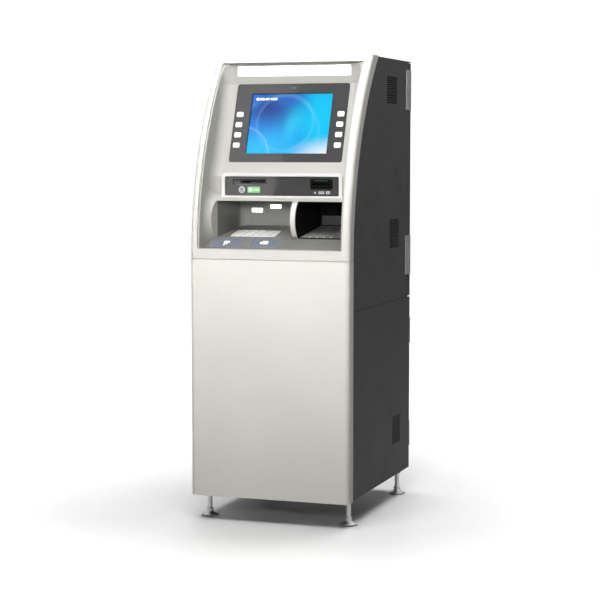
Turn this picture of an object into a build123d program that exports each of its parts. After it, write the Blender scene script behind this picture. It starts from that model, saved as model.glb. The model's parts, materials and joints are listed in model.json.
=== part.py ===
from build123d import *
from math import atan2, cos, radians, sin, sqrt, tan
import os

os.makedirs("parts", exist_ok=True)

# A free-standing lobby cash machine. Millimetres, +Z up, the customer at -Y, the service side at +Y.
# The origin is on the floor, at the centre of the overall box. Profiles are drawn in views whose
# second or first coordinate is the distance behind the front face.

# Overall size
width = 580
depth = 780
height = 1627
front_y = -depth / 2

# Cabinet
cabinet_bottom = 90
cabinet_seam = 746
panel_seam = 921
panel_depth = 52
body_back = 767
skin_x = 286.5
skin = 2
seam_gap = 1.5
corner_radius = 16

# Fascia: two arcs about one centre, seen from the side
arc_centre = (1061, panel_seam)
front_radius = 1061
back_radius = 1009
opening_half = 264.7
opening_bottom = 955
opening_top = 1605
frame_fillet = 6
recess_half = 258
recess_top = 1601
recess_fillet = 38
moulding_half = 264.2
moulding_wall = 10

# Planes of the fascia moulding
lamp_depth = 263.5
lamp_bottom, lamp_top = 1558, 1593
screen_top = (263.5, 1530)
screen_bottom = (164.6, 1253.5)
strip_depth = 137.4
strip_bottom, strip_top = 1137, 1204
strip_middle = (strip_bottom + strip_top) / 2
cave_lip = (106, 1119)
cave_bulge = (72, 1053)
cave_back = 266
moulding_back = 276
keypad_cave = ((-240, 50), (-232, 106), (-200, cave_back), (25, cave_back), (52, 106), (52, 50))
cash_cave = ((72, 50), (72, 106), (101, cave_back), (199, cave_back), (246, 106), (250, 50))
apron_start = (50, 957.5)
shelf_start = (104, 990)
shelf_slope = 13

# Screen
bezel_width = 420
bezel_thick = 6
window_width, window_height = 300, 224
window_shift = -2.3
fdk_x = 188
fdk_first, fdk_pitch = 32, -38.5
fdk_width, fdk_height = 25, 19

# Strip panel
strip_half = 210.5
slot_x, slot_width, slot_z, slot_height = -119.5, 128, 1185, 21
mouth_x, mouth_width, mouth_z, mouth_height = 145.8, 82, 1178.4, 35.4

# Keypad
pad_x, pad_along = -103, 54
pad_width, pad_length = 167, 76
key_pitch_x, key_pitch_y = 34, 17
key_width, key_length = 24, 12
key_gap = 0.4
pad_body_width, pad_body_length = 150, 68

# Cash outlet and cave lamps
cash_x = 150
cash_mouth_z = 1049
shutter_front = 261.1
shutter_half = 44
shutter_thick = 1.7
lamp_width, lamp_height = 40, 14
cave_lamps = ((-139, 1082), (-69, 1095.5))

# Safe
safe_half = 268
safe_front, safe_back = 58, 738
safe_bottom, safe_top = 120, 745
safe_wall = 10
door_thick = 20
bolt_radius = 11
bolt_heights = (200, 430, 660)
pinion_radius = 15.6
hinge_x, hinge_depth, hinge_radius = 278, 770.5, 9.5
safe_hinges = ((174, 271), (567, 665))

# Service door
door_front = 736.5
service_top = 1619
leaf_pin = (286, 735)
leaf_radius = 4
service_hinges = ((831, 977), (1445, 1593))

# Feet and anchors
foot_x = 259
foot_depths = (100, 700)
foot_radius = 30
neck_radius = 12
stem_radius = 8
nut_radius = 12
nut_height = 12
block_width, block_length = 44, 64
plate_thick = 6
plate_half = 283.5
plate_front, plate_back = 54, 764
run_gap = 0.05
anchor_radius = 9
anchor_x, anchor_y = 360, 440
anchor_middle = 390
cable_radius = 22
cable_at = (-150, 700)

# Vents: distance behind the front, height, length and tallness
vents_upper = ((519, 1512, 128, 105), (555, 992, 120, 109))
vents_lower = ((590, 265, 105, 110),)
louvre_pitch, louvre_height = 6.6, 3.8


def side_view(x=0):
    """Looks from +X: first coordinate is the distance behind the front, second is height."""
    return Plane(origin=(x, front_y, 0), x_dir=(0, 1, 0), z_dir=(1, 0, 0))


def plan_view(z=0):
    """Looks down: first coordinate is X, second is the distance behind the front."""
    return Plane(origin=(0, front_y, z), x_dir=(1, 0, 0), z_dir=(0, 0, 1))


def front_view(behind=0):
    """Looks from the customer's side: X and height. Its normal points to the customer."""
    return Plane(origin=(0, front_y + behind, 0), x_dir=(1, 0, 0), z_dir=(0, -1, 0))


def arc_depth(radius, z):
    """Distance behind the front of a fascia arc at a height."""
    return arc_centre[0] - sqrt(radius**2 - (z - arc_centre[1]) ** 2)


lean = atan2(screen_top[0] - screen_bottom[0], screen_top[1] - screen_bottom[1])
screen_length = sqrt(
    (screen_top[0] - screen_bottom[0]) ** 2 + (screen_top[1] - screen_bottom[1]) ** 2
)
screen_middle = (
    (screen_top[0] + screen_bottom[0]) / 2,
    (screen_top[1] + screen_bottom[1]) / 2,
)


def screen_plane(offset=0):
    """The leaning plane of the screen bezel's face, normal to the customer."""
    plane = Plane(
        origin=(0, front_y + screen_middle[0], screen_middle[1]),
        x_dir=(1, 0, 0),
        z_dir=(0, -cos(lean), sin(lean)),
    )
    return plane.offset(offset)


screen_axis = Axis(screen_plane().origin, screen_plane().z_dir)


def shelf_plane(offset=0):
    """The sloping plane of the shelf, normal up and to the customer."""
    slope = radians(shelf_slope)
    plane = Plane(
        origin=(0, front_y + shelf_start[0], shelf_start[1]),
        x_dir=(1, 0, 0),
        z_dir=(0, -sin(slope), cos(slope)),
    )
    return plane.offset(offset)


def shelf_height(behind):
    return shelf_start[1] + (behind - shelf_start[0]) * tan(radians(shelf_slope))


# ---------------------------------------------------------------- base, feet, cabinet

foot_places = [(sx * foot_x, d) for sx in (-1, 1) for d in foot_depths]
foot_names = ("front_left", "rear_left", "front_right", "rear_right")
block_top = safe_bottom

plate_middle = (plate_front + plate_back) / 2

with BuildPart() as base_plate:
    with BuildSketch(plan_view(cabinet_bottom)):
        with Locations((0, plate_middle)):
            Rectangle(2 * plate_half, plate_back - plate_front)
        with Locations(*foot_places):
            Circle(stem_radius + run_gap, mode=Mode.SUBTRACT)
        with Locations((0, anchor_middle)):
            with GridLocations(anchor_x, anchor_y, 2, 2):
                Circle(anchor_radius, mode=Mode.SUBTRACT)
        with Locations(cable_at):
            Circle(cable_radius, mode=Mode.SUBTRACT)
    extrude(amount=plate_thick)
base_plate.part.label = "base_plate"
export_step(base_plate.part, "parts/base_plate.step")

# Threaded blocks above the plate and lock nuts below it
with BuildPart() as foot_nuts:
    with BuildSketch(plan_view(cabinet_bottom + plate_thick)):
        with Locations(*foot_places):
            Rectangle(block_width, block_length)
            Circle(stem_radius + run_gap, mode=Mode.SUBTRACT)
    extrude(amount=block_top - cabinet_bottom - plate_thick)
    with BuildSketch(plan_view(cabinet_bottom - nut_height)):
        with Locations(*foot_places):
            RegularPolygon(nut_radius, 6, major_radius=False)
            Circle(stem_radius + run_gap, mode=Mode.SUBTRACT)
    extrude(amount=nut_height)
foot_nuts.part.label = "foot_nuts"
export_step(foot_nuts.part, "parts/foot_nuts.step")

stem_top = block_top - 3
for name, (x, d) in zip(foot_names, foot_places):
    with BuildPart() as foot:
        with BuildSketch(side_view(x)):
            with BuildLine():
                Polyline(
                    (d, 0), (d + foot_radius - 1, 0), (d + foot_radius, 1),
                    (d + foot_radius, 5), (d + foot_radius - 1.5, 7),
                    (d + neck_radius + 2, 13), (d + neck_radius, 15), (d + neck_radius, 26),
                    (d + neck_radius - 1.5, 28),
                    (d + stem_radius, 29), (d + stem_radius, stem_top - 1.5),
                    (d + stem_radius - 1.5, stem_top), (d, stem_top), close=True,
                )
            make_face()
        revolve(axis=Axis((x, front_y + d, 0), (0, 0, 1)))
    foot.part.label = f"foot_{name}"
    export_step(foot.part, f"parts/foot_{name}.step")

with BuildPart() as front_panel:
    with BuildSketch(plan_view(cabinet_bottom)) as outline:
        with Locations((0, panel_depth / 2)):
            Rectangle(width, panel_depth)
        fillet(outline.vertices().group_by(Axis.Y)[0], corner_radius)
    extrude(amount=panel_seam - seam_gap - cabinet_bottom)
    with BuildSketch(plan_view(cabinet_bottom + 3)) as hollow:
        with Locations((0, (3 + panel_depth) / 2)):
            Rectangle(width - 6, panel_depth - 3)
        fillet(hollow.vertices().group_by(Axis.Y)[0], corner_radius - 3)
    extrude(amount=panel_seam - seam_gap - cabinet_bottom - 6, mode=Mode.SUBTRACT)
front_panel.part.label = "front_panel"
export_step(front_panel.part, "parts/front_panel.step")


def louvre_slots(behind, z, length, tall):
    """Sketch of one vent: a column of level slots."""
    with Locations((behind, z)):
        with GridLocations(1, louvre_pitch, 1, int(tall // louvre_pitch)):
            SlotOverall(length, louvre_height)


def left_or_right(side):
    return "left" if side < 0 else "right"


for side in (-1, 1):
    inner_face = side_view(side * (skin_x - skin))
    with BuildPart() as lower_side:
        with BuildSketch(inner_face):
            with Locations(((52.5 + body_back) / 2, (92 + cabinet_seam - 1) / 2)):
                Rectangle(body_back - 52.5, cabinet_seam - 1 - 92)
        extrude(amount=side * skin)
        with BuildSketch(inner_face):
            for vent in vents_lower:
                louvre_slots(*vent)
        extrude(amount=side * skin, mode=Mode.SUBTRACT)
        if side > 0:
            with BuildSketch(inner_face):
                for low, high in safe_hinges:
                    with Locations((body_back, (low + high) / 2)):
                        Rectangle(20, high - low + 4)
            extrude(amount=skin, mode=Mode.SUBTRACT)
    label = f"lower_side_{left_or_right(side)}"
    lower_side.part.label = label
    export_step(lower_side.part, f"parts/{label}.step")

# ---------------------------------------------------------------- upper housing

arc_top = 1620.5
for side in (-1, 1):
    inner_face = side_view(side * (skin_x - skin))
    with BuildPart() as upper_side:
        with BuildSketch(inner_face):
            with BuildLine():
                start = (arc_depth(back_radius - 0.5, panel_seam), panel_seam)
                end = (arc_depth(back_radius - 0.5, arc_top), arc_top)
                middle_z = (panel_seam + arc_top) / 2
                Line((start[0], cabinet_seam + 1), start)
                ThreePointArc(start, (arc_depth(back_radius - 0.5, middle_z), middle_z), end)
                Polyline(end, (734, arc_top), (734, cabinet_seam + 1), (start[0], cabinet_seam + 1))
            make_face()
        extrude(amount=side * skin)
        with BuildSketch(inner_face):
            for vent in vents_upper:
                louvre_slots(*vent)
        extrude(amount=side * skin, mode=Mode.SUBTRACT)
        # The return flange at the rear edge, behind which the latch turns
        with BuildSketch(front_view(732)):
            with Locations((side * (skin_x - skin - 10), (cabinet_seam + 1 + arc_top) / 2)):
                Rectangle(20, arc_top - cabinet_seam - 1)
        extrude(amount=-2)
        if side > 0:
            for low, high in service_hinges:
                with BuildSketch(plan_view(low - 1)):
                    with Locations(leaf_pin):
                        Circle(leaf_radius + 0.6)
                extrude(amount=high - low + 2, mode=Mode.SUBTRACT)
    label = f"upper_side_{left_or_right(side)}"
    upper_side.part.label = label
    export_step(upper_side.part, f"parts/{label}.step")

with BuildPart() as roof_panel:
    with BuildSketch(plan_view(1621)):
        with Locations((0, (343 + body_back) / 2)):
            Rectangle(2 * skin_x, body_back - 343)
    extrude(amount=4)
    chamfer(roof_panel.faces().sort_by(Axis.Z)[-1].edges(), 1)
roof_panel.part.label = "roof_panel"
export_step(roof_panel.part, "parts/roof_panel.step")

# ---------------------------------------------------------------- fascia

with BuildPart() as fascia_frame:
    with BuildSketch(side_view(-width / 2)):
        with BuildLine():
            middle_z = (panel_seam + height) / 2
            front_low = (arc_depth(front_radius, panel_seam), panel_seam)
            front_top = (arc_depth(front_radius, height), height)
            back_top = (arc_depth(back_radius, height), height)
            back_low = (arc_depth(back_radius, panel_seam), panel_seam)
            ThreePointArc(front_low, (arc_depth(front_radius, middle_z), middle_z), front_top)
            Line(front_top, back_top)
            ThreePointArc(back_top, (arc_depth(back_radius, middle_z), middle_z), back_low)
            Line(back_low, front_low)
        make_face()
    extrude(amount=width)
    outer_arcs = fascia_frame.edges().filter_by(GeomType.CIRCLE)
    outer_arcs = outer_arcs.filter_by(lambda e: abs(e.radius - front_radius) < 1)
    fillet(outer_arcs, corner_radius)
    with BuildSketch(front_view(-10)) as opening:
        with Locations((0, (opening_bottom + opening_top) / 2)):
            Rectangle(2 * opening_half, opening_top - opening_bottom)
        fillet(opening.vertices(), frame_fillet)
    extrude(amount=-400, mode=Mode.SUBTRACT)
fascia_frame.part.label = "fascia_frame"
export_step(fascia_frame.part, "parts/fascia_frame.step")


# The space in front of the fascia, which the moulding is hollowed by
with BuildSketch(side_view(-recess_half)) as recess_side:
    with BuildLine():
        Polyline((-40, apron_start[1]), apron_start, shelf_start)
        ThreePointArc(shelf_start, cave_bulge, cave_lip)
        Polyline(
            cave_lip, (strip_depth, strip_bottom), (strip_depth, strip_top), screen_bottom,
            screen_top, (lamp_depth, recess_top), (-40, recess_top), (-40, apron_start[1]),
        )
    make_face()

with BuildPart() as front_recess:
    extrude(recess_side.sketch, amount=2 * recess_half)
    side_edges = front_recess.edges().filter_by(lambda e: abs(abs(e.center().X) - recess_half) < 1)
    side_edges = side_edges.filter_by(lambda e: e.center().Y > front_y + apron_start[0])
    side_edges = side_edges.filter_by(lambda e: shelf_start[1] < e.center().Z < recess_top - 1)
    fillet(side_edges, recess_fillet)

# The spaces of the two caves, with drafted sides, above the sloping shelf
cave_low = 930

with BuildPart() as keypad_space:
    with BuildSketch(plan_view(cave_low)) as cave_plan:
        with BuildLine():
            Polyline(*keypad_cave, close=True)
        make_face()
        fillet(cave_plan.vertices().sort_by(Axis.Y)[-2:].sort_by(Axis.X)[0], 40)
    extrude(amount=cave_lip[1] - cave_low)
    split(bisect_by=shelf_plane(), keep=Keep.TOP)

with BuildPart() as cash_space:
    with BuildSketch(plan_view(cave_low)):
        with BuildLine():
            Polyline(*cash_cave, close=True)
        make_face()
    extrude(amount=cave_lip[1] - cave_low)
    split(bisect_by=shelf_plane(), keep=Keep.TOP)

with BuildPart() as fascia_moulding:
    with BuildSketch(side_view(-moulding_half)):
        with BuildLine():
            lip_radius = front_radius - 6
            low = (arc_depth(lip_radius, opening_bottom + 0.5), opening_bottom + 0.5)
            top = (arc_depth(lip_radius, opening_top - 0.5), opening_top - 0.5)
            middle = (arc_depth(lip_radius, 1280), 1280)
            wall_y = moulding_wall * cos(lean)
            wall_z = moulding_wall * sin(lean)
            ThreePointArc(low, middle, top)
            Polyline(
                top, (lamp_depth + moulding_wall, opening_top - 0.5),
                (screen_top[0] + wall_y, screen_top[1] - wall_z),
                (screen_bottom[0] + wall_y, screen_bottom[1] - wall_z),
                (strip_depth + moulding_wall, strip_top + 3),
                (strip_depth + moulding_wall, 1127), (moulding_back, 1127),
                (moulding_back, shelf_height(moulding_back) - moulding_wall),
                (shelf_start[0] + 3, shelf_start[1] - moulding_wall),
                (53, apron_start[1] - moulding_wall), (53, opening_bottom + 0.5), low,
            )
        make_face()
    extrude(amount=2 * moulding_half)
    outer_edges = fascia_moulding.edges().filter_by(Axis.Y)
    outer_edges = outer_edges.filter_by(lambda e: e.center().Z > opening_bottom)
    fillet(outer_edges.filter_by(lambda e: abs(e.center().X) > recess_half), frame_fillet)
    add(front_recess.part, mode=Mode.SUBTRACT)
    add(keypad_space.part, mode=Mode.SUBTRACT)
    add(cash_space.part, mode=Mode.SUBTRACT)
    # A raised border round the strip panel
    with BuildSketch(front_view(strip_depth)):
        with Locations((0, strip_middle)):
            RectangleRounded(446, 92, 14)
            RectangleRounded(2 * strip_half + 1, strip_top - strip_bottom + 1, 6, mode=Mode.SUBTRACT)
    extrude(amount=6)
    # Seats and windows for the bezel, the strip, the lamps, the keypad and the cash mouth
    with BuildSketch(screen_plane()):
        RectangleRounded(bezel_width + 0.6, screen_length + 0.6, 9)
    extrude(amount=-bezel_thick, mode=Mode.SUBTRACT)
    with BuildSketch(screen_plane()):
        Rectangle(406, 276)
    extrude(amount=-2 * moulding_wall, mode=Mode.SUBTRACT)
    with BuildSketch(front_view(strip_depth)):
        with Locations((0, strip_middle)):
            RectangleRounded(2 * strip_half + 0.6, strip_top - strip_bottom + 0.6, 5)
    extrude(amount=-5, mode=Mode.SUBTRACT)
    with BuildSketch(front_view(strip_depth)):
        with Locations((0, strip_middle)):
            Rectangle(404, 52)
    extrude(amount=-2 * moulding_wall, mode=Mode.SUBTRACT)
    with BuildSketch(front_view(lamp_depth)):
        with Locations((0, (lamp_bottom + lamp_top) / 2)):
            Rectangle(422.6, lamp_top - lamp_bottom + 0.6)
    extrude(amount=-5, mode=Mode.SUBTRACT)
    with BuildSketch(front_view(cave_back)):
        with Locations(*cave_lamps):
            Rectangle(lamp_width + 0.6, lamp_height + 0.6)
    extrude(amount=-4, mode=Mode.SUBTRACT)
    with BuildSketch(shelf_plane()):
        with Locations((pad_x, pad_along)):
            Rectangle(pad_width + 0.6, pad_length + 0.6)
    extrude(amount=-3, mode=Mode.SUBTRACT)
    with BuildSketch(shelf_plane()):
        with Locations((pad_x, pad_along)):
            Rectangle(pad_body_width + 1, pad_body_length + 1)
    extrude(amount=-3 * moulding_wall, mode=Mode.SUBTRACT)
    with BuildSketch(front_view(cave_back)):
        with Locations((cash_x, cash_mouth_z)):
            Rectangle(92, 32)
    extrude(amount=-2 * moulding_wall, mode=Mode.SUBTRACT)
fascia_moulding.part.label = "fascia_moulding"
export_step(fascia_moulding.part, "parts/fascia_moulding.step")

with BuildPart() as lamp_diffusers:
    with BuildSketch(front_view(lamp_depth)):
        with Locations((0, (lamp_bottom + lamp_top) / 2)):
            Rectangle(422, lamp_top - lamp_bottom)
    extrude(amount=-4.8)
    with BuildSketch(front_view(cave_back - 2)):
        with Locations(*cave_lamps):
            Rectangle(lamp_width, lamp_height)
    extrude(amount=-5.8)
lamp_diffusers.part.label = "lamp_diffusers"
export_step(lamp_diffusers.part, "parts/lamp_diffusers.step")

# ---------------------------------------------------------------- screen and function keys

fdk_places = [
    (side * fdk_x, fdk_first + row * fdk_pitch) for side in (-1, 1) for row in range(4)
]

with BuildPart() as screen_bezel:
    with BuildSketch(screen_plane()):
        RectangleRounded(bezel_width, screen_length, 9)
        with Locations((0, window_shift)):
            Rectangle(window_width, window_height, mode=Mode.SUBTRACT)
        with Locations(*fdk_places):
            RectangleRounded(fdk_width + 2 * key_gap, fdk_height + 2 * key_gap, 5, mode=Mode.SUBTRACT)
    extrude(amount=-(bezel_thick - 0.2))
screen_bezel.part.label = "screen_bezel"
export_step(screen_bezel.part, "parts/screen_bezel.step")

with BuildPart() as display_panel:
    with BuildSketch(screen_plane(-bezel_thick - 0.3)):
        with Locations((0, window_shift)):
            Rectangle(window_width + 26, window_height + 26)
    extrude(amount=-20)
    with BuildSketch(screen_plane(-moulding_wall - 0.1)):
        Rectangle(416, 286)
    extrude(amount=-2.5)
display_panel.part.label = "display_panel"
export_step(display_panel.part, "parts/display_panel.step")

for number, place in enumerate(fdk_places, start=1):
    with BuildPart() as function_key:
        with BuildSketch(screen_plane(-bezel_thick - 0.4)):
            with Locations(place):
                RectangleRounded(fdk_width, fdk_height, 4.6)
        extrude(amount=bezel_thick + 2.9)
        chamfer(function_key.faces().sort_by(screen_axis)[-1].edges(), 0.8)
        with BuildSketch(screen_plane(-bezel_thick - 0.2)):
            with Locations(place):
                Rectangle(fdk_width + 4, fdk_height + 4)
        extrude(amount=-1.5)
    function_key.part.label = f"function_key_{number}"
    export_step(function_key.part, f"parts/function_key_{number}.step")

# ---------------------------------------------------------------- strip panel and its devices

with BuildPart() as strip_panel:
    with BuildSketch(front_view(strip_depth)):
        with Locations((0, strip_middle)):
            RectangleRounded(2 * strip_half, strip_top - strip_bottom, 5)
        with Locations((slot_x, slot_z)):
            RectangleRounded(slot_width, slot_height, 2, mode=Mode.SUBTRACT)
        with Locations((mouth_x, mouth_z)):
            RectangleRounded(mouth_width, mouth_height, 7, mode=Mode.SUBTRACT)
    extrude(amount=-4.8)
strip_panel.part.label = "strip_panel"
export_step(strip_panel.part, "parts/strip_panel.step")

roll_depth, roll_z, roll_radius = 282, 1195, 38
spindle_radius = 8

with BuildPart() as receipt_printer:
    # Floor, two cheeks and the print mechanism, with the slit that the paper leaves by
    with BuildSketch(plan_view(1130)):
        with Locations((slot_x, 237)):
            Rectangle(150, 176)
    extrude(amount=3)
    for side in (-1, 1):
        with BuildSketch(side_view(slot_x + side * 75)):
            with Locations((237, 1168)):
                Rectangle(176, 76)
        extrude(amount=-side * 3)
    with BuildSketch(side_view(slot_x - 75)):
        with Locations((200, 1168)):
            Rectangle(60, 70)
        with Locations((200, slot_z)):
            Rectangle(60, 4.6, mode=Mode.SUBTRACT)
    extrude(amount=150)
    with BuildSketch(side_view(slot_x - 75)):
        with Locations((roll_depth, roll_z)):
            Circle(spindle_radius)
    extrude(amount=150)
receipt_printer.part.label = "receipt_printer"
export_step(receipt_printer.part, "parts/receipt_printer.step")

with BuildPart() as paper_roll:
    with BuildSketch(side_view(slot_x - 40)):
        with Locations((roll_depth, roll_z)):
            Circle(roll_radius)
            Circle(spindle_radius + run_gap, mode=Mode.SUBTRACT)
    extrude(amount=80)
paper_roll.part.label = "paper_roll"
export_step(paper_roll.part, "parts/paper_roll.step")

card_slot_height, card_slot_depth = 6, 30

with BuildPart() as card_reader:
    with BuildSketch(front_view(strip_depth - 4)):
        with Locations((mouth_x, mouth_z)):
            RectangleRounded(mouth_width - 0.6, mouth_height - 0.6, 6.7)
    extrude(amount=-18)
    fillet(card_reader.faces().sort_by(Axis.Y)[0].edges(), 2)
    with BuildSketch(front_view(strip_depth + 14)):
        with Locations((mouth_x, mouth_z)):
            Rectangle(72, 52)
    extrude(amount=-150)
    with BuildSketch(front_view(strip_depth - 4)):
        with Locations((mouth_x, mouth_z)):
            Rectangle(60, card_slot_height)
    extrude(amount=-card_slot_depth, mode=Mode.SUBTRACT)
card_reader.part.label = "card_reader"
export_step(card_reader.part, "parts/card_reader.step")

# ---------------------------------------------------------------- keypad

key_offsets = [
    (key_pitch_x * (column - 1.5), key_pitch_y * (1.5 - row))
    for row in range(4)
    for column in range(4)
]
key_places = [(pad_x + x, pad_along + y) for x, y in key_offsets]
key_axis = Axis(shelf_plane().origin, shelf_plane().z_dir)
pad_face = 3
key_stop = -3.9

with BuildPart() as keypad_housing:
    with BuildSketch(shelf_plane(pad_face)):
        with Locations((pad_x, pad_along)):
            RectangleRounded(pad_width, pad_length, 5)
    extrude(amount=-5.8)
    chamfer(keypad_housing.faces().sort_by(key_axis)[-1].edges(), 1)
    with BuildSketch(shelf_plane(-2.8)):
        with Locations((pad_x, pad_along)):
            Rectangle(pad_body_width, pad_body_length)
    extrude(amount=-25)
    with BuildSketch(shelf_plane(pad_face)):
        with Locations(*key_places):
            RectangleRounded(key_width + 2 * key_gap, key_length + 2 * key_gap, 2.4)
    extrude(amount=key_stop - pad_face, mode=Mode.SUBTRACT)
    with BuildSketch(shelf_plane(key_stop)):
        with Locations(*key_places):
            Rectangle(key_width + 5, key_length + 4)
    extrude(amount=-5.3, mode=Mode.SUBTRACT)
keypad_housing.part.label = "keypad_housing"
export_step(keypad_housing.part, "parts/keypad_housing.step")

key_labels = ("1", "2", "3", "cancel", "4", "5", "6", "clear", "7", "8", "9", "enter")
key_labels += ("left_blank", "0", "right_blank", "lower_blank")

for key_label, place in zip(key_labels, key_places):
    with BuildPart() as key:
        with BuildSketch(shelf_plane(key_stop - 0.4)):
            with Locations(place):
                RectangleRounded(key_width, key_length, 2)
        extrude(amount=pad_face + 3 - key_stop + 0.4)
        fillet(key.faces().sort_by(key_axis)[-1].edges(), 0.9)
        with BuildSketch(shelf_plane(key_stop - 0.2)):
            with Locations(place):
                Rectangle(key_width + 4, key_length + 3)
        extrude(amount=-2.2)
    key.part.label = f"key_{key_label}"
    export_step(key.part, f"parts/key_{key_label}.step")

# ---------------------------------------------------------------- cash outlet

liner_gap = 0.3
liner_wall = 2.5
liner_total = liner_gap + liner_wall
liner_edge = 1.2
guide_top = 1110


def inset(points, gap):
    """A cave's plan outline drawn in by a gap at its sides and back."""
    left, mid_left, back_left, back_right, mid_right, right = points
    return (
        (left[0] + gap, left[1]), (mid_left[0] + gap, mid_left[1]),
        (back_left[0] + gap, back_left[1] - gap), (back_right[0] - gap, back_right[1] - gap),
        (mid_right[0] - gap, mid_right[1]), (right[0] - gap, right[1]),
    )


# The space inside the liner, over its tray
with BuildPart() as tray_space:
    with BuildSketch(plan_view(cave_low)):
        with BuildLine():
            Polyline(*inset(cash_cave, liner_total), close=True)
        make_face()
    extrude(amount=cave_lip[1] - liner_total - cave_low)
    split(bisect_by=shelf_plane(liner_total), keep=Keep.TOP)

with BuildPart() as cash_liner:
    with BuildSketch(plan_view(cave_low)):
        with BuildLine():
            Polyline(*inset(cash_cave, liner_gap), close=True)
        make_face()
    extrude(amount=cave_lip[1] - liner_gap - cave_low)
    split(bisect_by=shelf_plane(liner_gap), keep=Keep.TOP)
    add(tray_space.part, mode=Mode.SUBTRACT)
    # Its front edge follows the opening of the cave
    liner_front = recess_side.sketch.moved(Location((0, liner_edge, 0)))
    extrude(liner_front, amount=2 * recess_half, mode=Mode.SUBTRACT)
    # Guides in which the shutter's edges run
    guide_foot = shelf_height(cave_back)
    for side in (-1, 1):
        with BuildSketch(plan_view(guide_foot)):
            with Locations((cash_x + side * (shutter_half + 1.7), shutter_front + 0.8)):
                Rectangle(2.6, 6.4)
            with Locations((cash_x + side * (shutter_half + 0.5), shutter_front - 1.6)):
                Rectangle(5, 2.4)
        extrude(amount=guide_top - guide_foot)
    with BuildSketch(front_view(cave_back - 8)):
        with Locations((cash_x, cash_mouth_z)):
            Rectangle(82, 24)
    extrude(amount=-10, mode=Mode.SUBTRACT)
cash_liner.part.label = "cash_liner"
export_step(cash_liner.part, "parts/cash_liner.step")

with BuildPart() as cash_shutter:
    with BuildSketch(front_view(shutter_front)):
        with Locations((cash_x, cash_mouth_z)):
            Rectangle(2 * shutter_half, 33)
    extrude(amount=-shutter_thick)
    with BuildSketch(front_view(shutter_front)):
        with Locations((cash_x, cash_mouth_z - 12)):
            Rectangle(78, 4)
    extrude(amount=3)
cash_shutter.part.label = "cash_shutter"
export_step(cash_shutter.part, "parts/cash_shutter.step")

# ---------------------------------------------------------------- note dispenser

rack_x = 130
rack_half = 110
rack_front, rack_rear = 250, 640
cassette_pitch = 118
cassette_width, cassette_height, cassette_length = 204, 104, 385
cassette_floors = [160 + n * cassette_pitch for n in range(4)]

with BuildPart() as cash_dispenser:
    # Shelved rack for the cassettes, standing on the safe's floor
    for side in (-1, 1):
        with BuildSketch(plan_view(safe_bottom + safe_wall)):
            with Locations((rack_x + side * (rack_half - 1.5), (rack_front + rack_rear) / 2)):
                Rectangle(3, rack_rear - rack_front)
        extrude(amount=500)
    for floor in cassette_floors + [cassette_floors[-1] + cassette_pitch - 4]:
        with BuildSketch(plan_view(floor - 3)):
            with Locations((rack_x, (rack_front + rack_rear) / 2)):
                Rectangle(2 * rack_half, rack_rear - rack_front)
        extrude(amount=3)
    # Upright note transport, from the rack to the cash mouth
    transport_low = safe_bottom + safe_wall
    with BuildSketch(plan_view(transport_low)):
        with Locations((cash_x, 225)):
            Rectangle(96, 46)
    extrude(amount=500)
    with BuildSketch(side_view(cash_x - 48)):
        with BuildLine():
            Polyline(
                (202, 628), (248, 628), (318, 700), (318, 1068), (278, 1068), (278, 718),
                (202, 640), close=True,
            )
        make_face()
    extrude(amount=96)
    with BuildSketch(plan_view(628)):
        with Locations((cash_x, 249)):
            Rectangle(96, 6)
    extrude(amount=-90)
cash_dispenser.part.label = "cash_dispenser"
export_step(cash_dispenser.part, "parts/cash_dispenser.step")

with BuildPart() as note_cassettes:
    for floor in cassette_floors:
        with BuildSketch(plan_view(floor)):
            with Locations((rack_x, rack_front + 12 + cassette_length / 2)):
                RectangleRounded(cassette_width, cassette_length, 6)
        extrude(amount=cassette_height)
        with BuildSketch(front_view(rack_front + 12 + cassette_length)):
            with Locations((rack_x, floor + 62)):
                RectangleRounded(110, 30, 6)
        extrude(amount=12, mode=Mode.SUBTRACT)
note_cassettes.part.label = "note_cassettes"
export_step(note_cassettes.part, "parts/note_cassettes.step")

# ---------------------------------------------------------------- safe

carriage_depth = 722
spindle_x, spindle_z = -60, 430
dial_x, dial_z = 40, 500
door_front_face = 740
door_back_face = door_front_face + door_thick
pin_radius = 5

with BuildPart() as safe_shell:
    with BuildSketch(plan_view(safe_bottom)):
        with Locations((0, (safe_front + safe_back) / 2)):
            Rectangle(2 * safe_half, safe_back - safe_front)
    extrude(amount=safe_top - safe_bottom)
    with BuildSketch(plan_view(safe_bottom + safe_wall)):
        with Locations((0, (safe_front + safe_wall + 760) / 2)):
            Rectangle(2 * (safe_half - safe_wall), 760 - safe_front - safe_wall)
    extrude(amount=safe_top - safe_bottom - 2 * safe_wall, mode=Mode.SUBTRACT)
    with BuildSketch(plan_view(safe_top)):
        with Locations((cash_x, 298)):
            Rectangle(102, 50)
    extrude(amount=-safe_wall, mode=Mode.SUBTRACT)
    with BuildSketch(plan_view(safe_bottom)):
        with Locations((0, anchor_middle)):
            with GridLocations(anchor_x, anchor_y, 2, 2):
                Circle(anchor_radius)
    extrude(amount=safe_wall, mode=Mode.SUBTRACT)
    with BuildSketch(side_view(-safe_half)):
        with Locations(*[(carriage_depth, z) for z in bolt_heights]):
            Circle(bolt_radius + 1)
    extrude(amount=safe_wall, mode=Mode.SUBTRACT)
    for low, high in safe_hinges:
        half = (high - low) / 2 - 0.5
        with BuildSketch(plan_view(low)):
            with Locations((safe_half + 4, (690 + hinge_depth) / 2)):
                Rectangle(8, hinge_depth - 690)
            with Locations((hinge_x, hinge_depth)):
                Circle(hinge_radius)
        extrude(amount=half)
        with BuildSketch(plan_view(low)):
            with Locations((hinge_x, hinge_depth)):
                Circle(pin_radius)
        extrude(amount=high - low - 3)
safe_shell.part.label = "safe_shell"
export_step(safe_shell.part, "parts/safe_shell.step")

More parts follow.
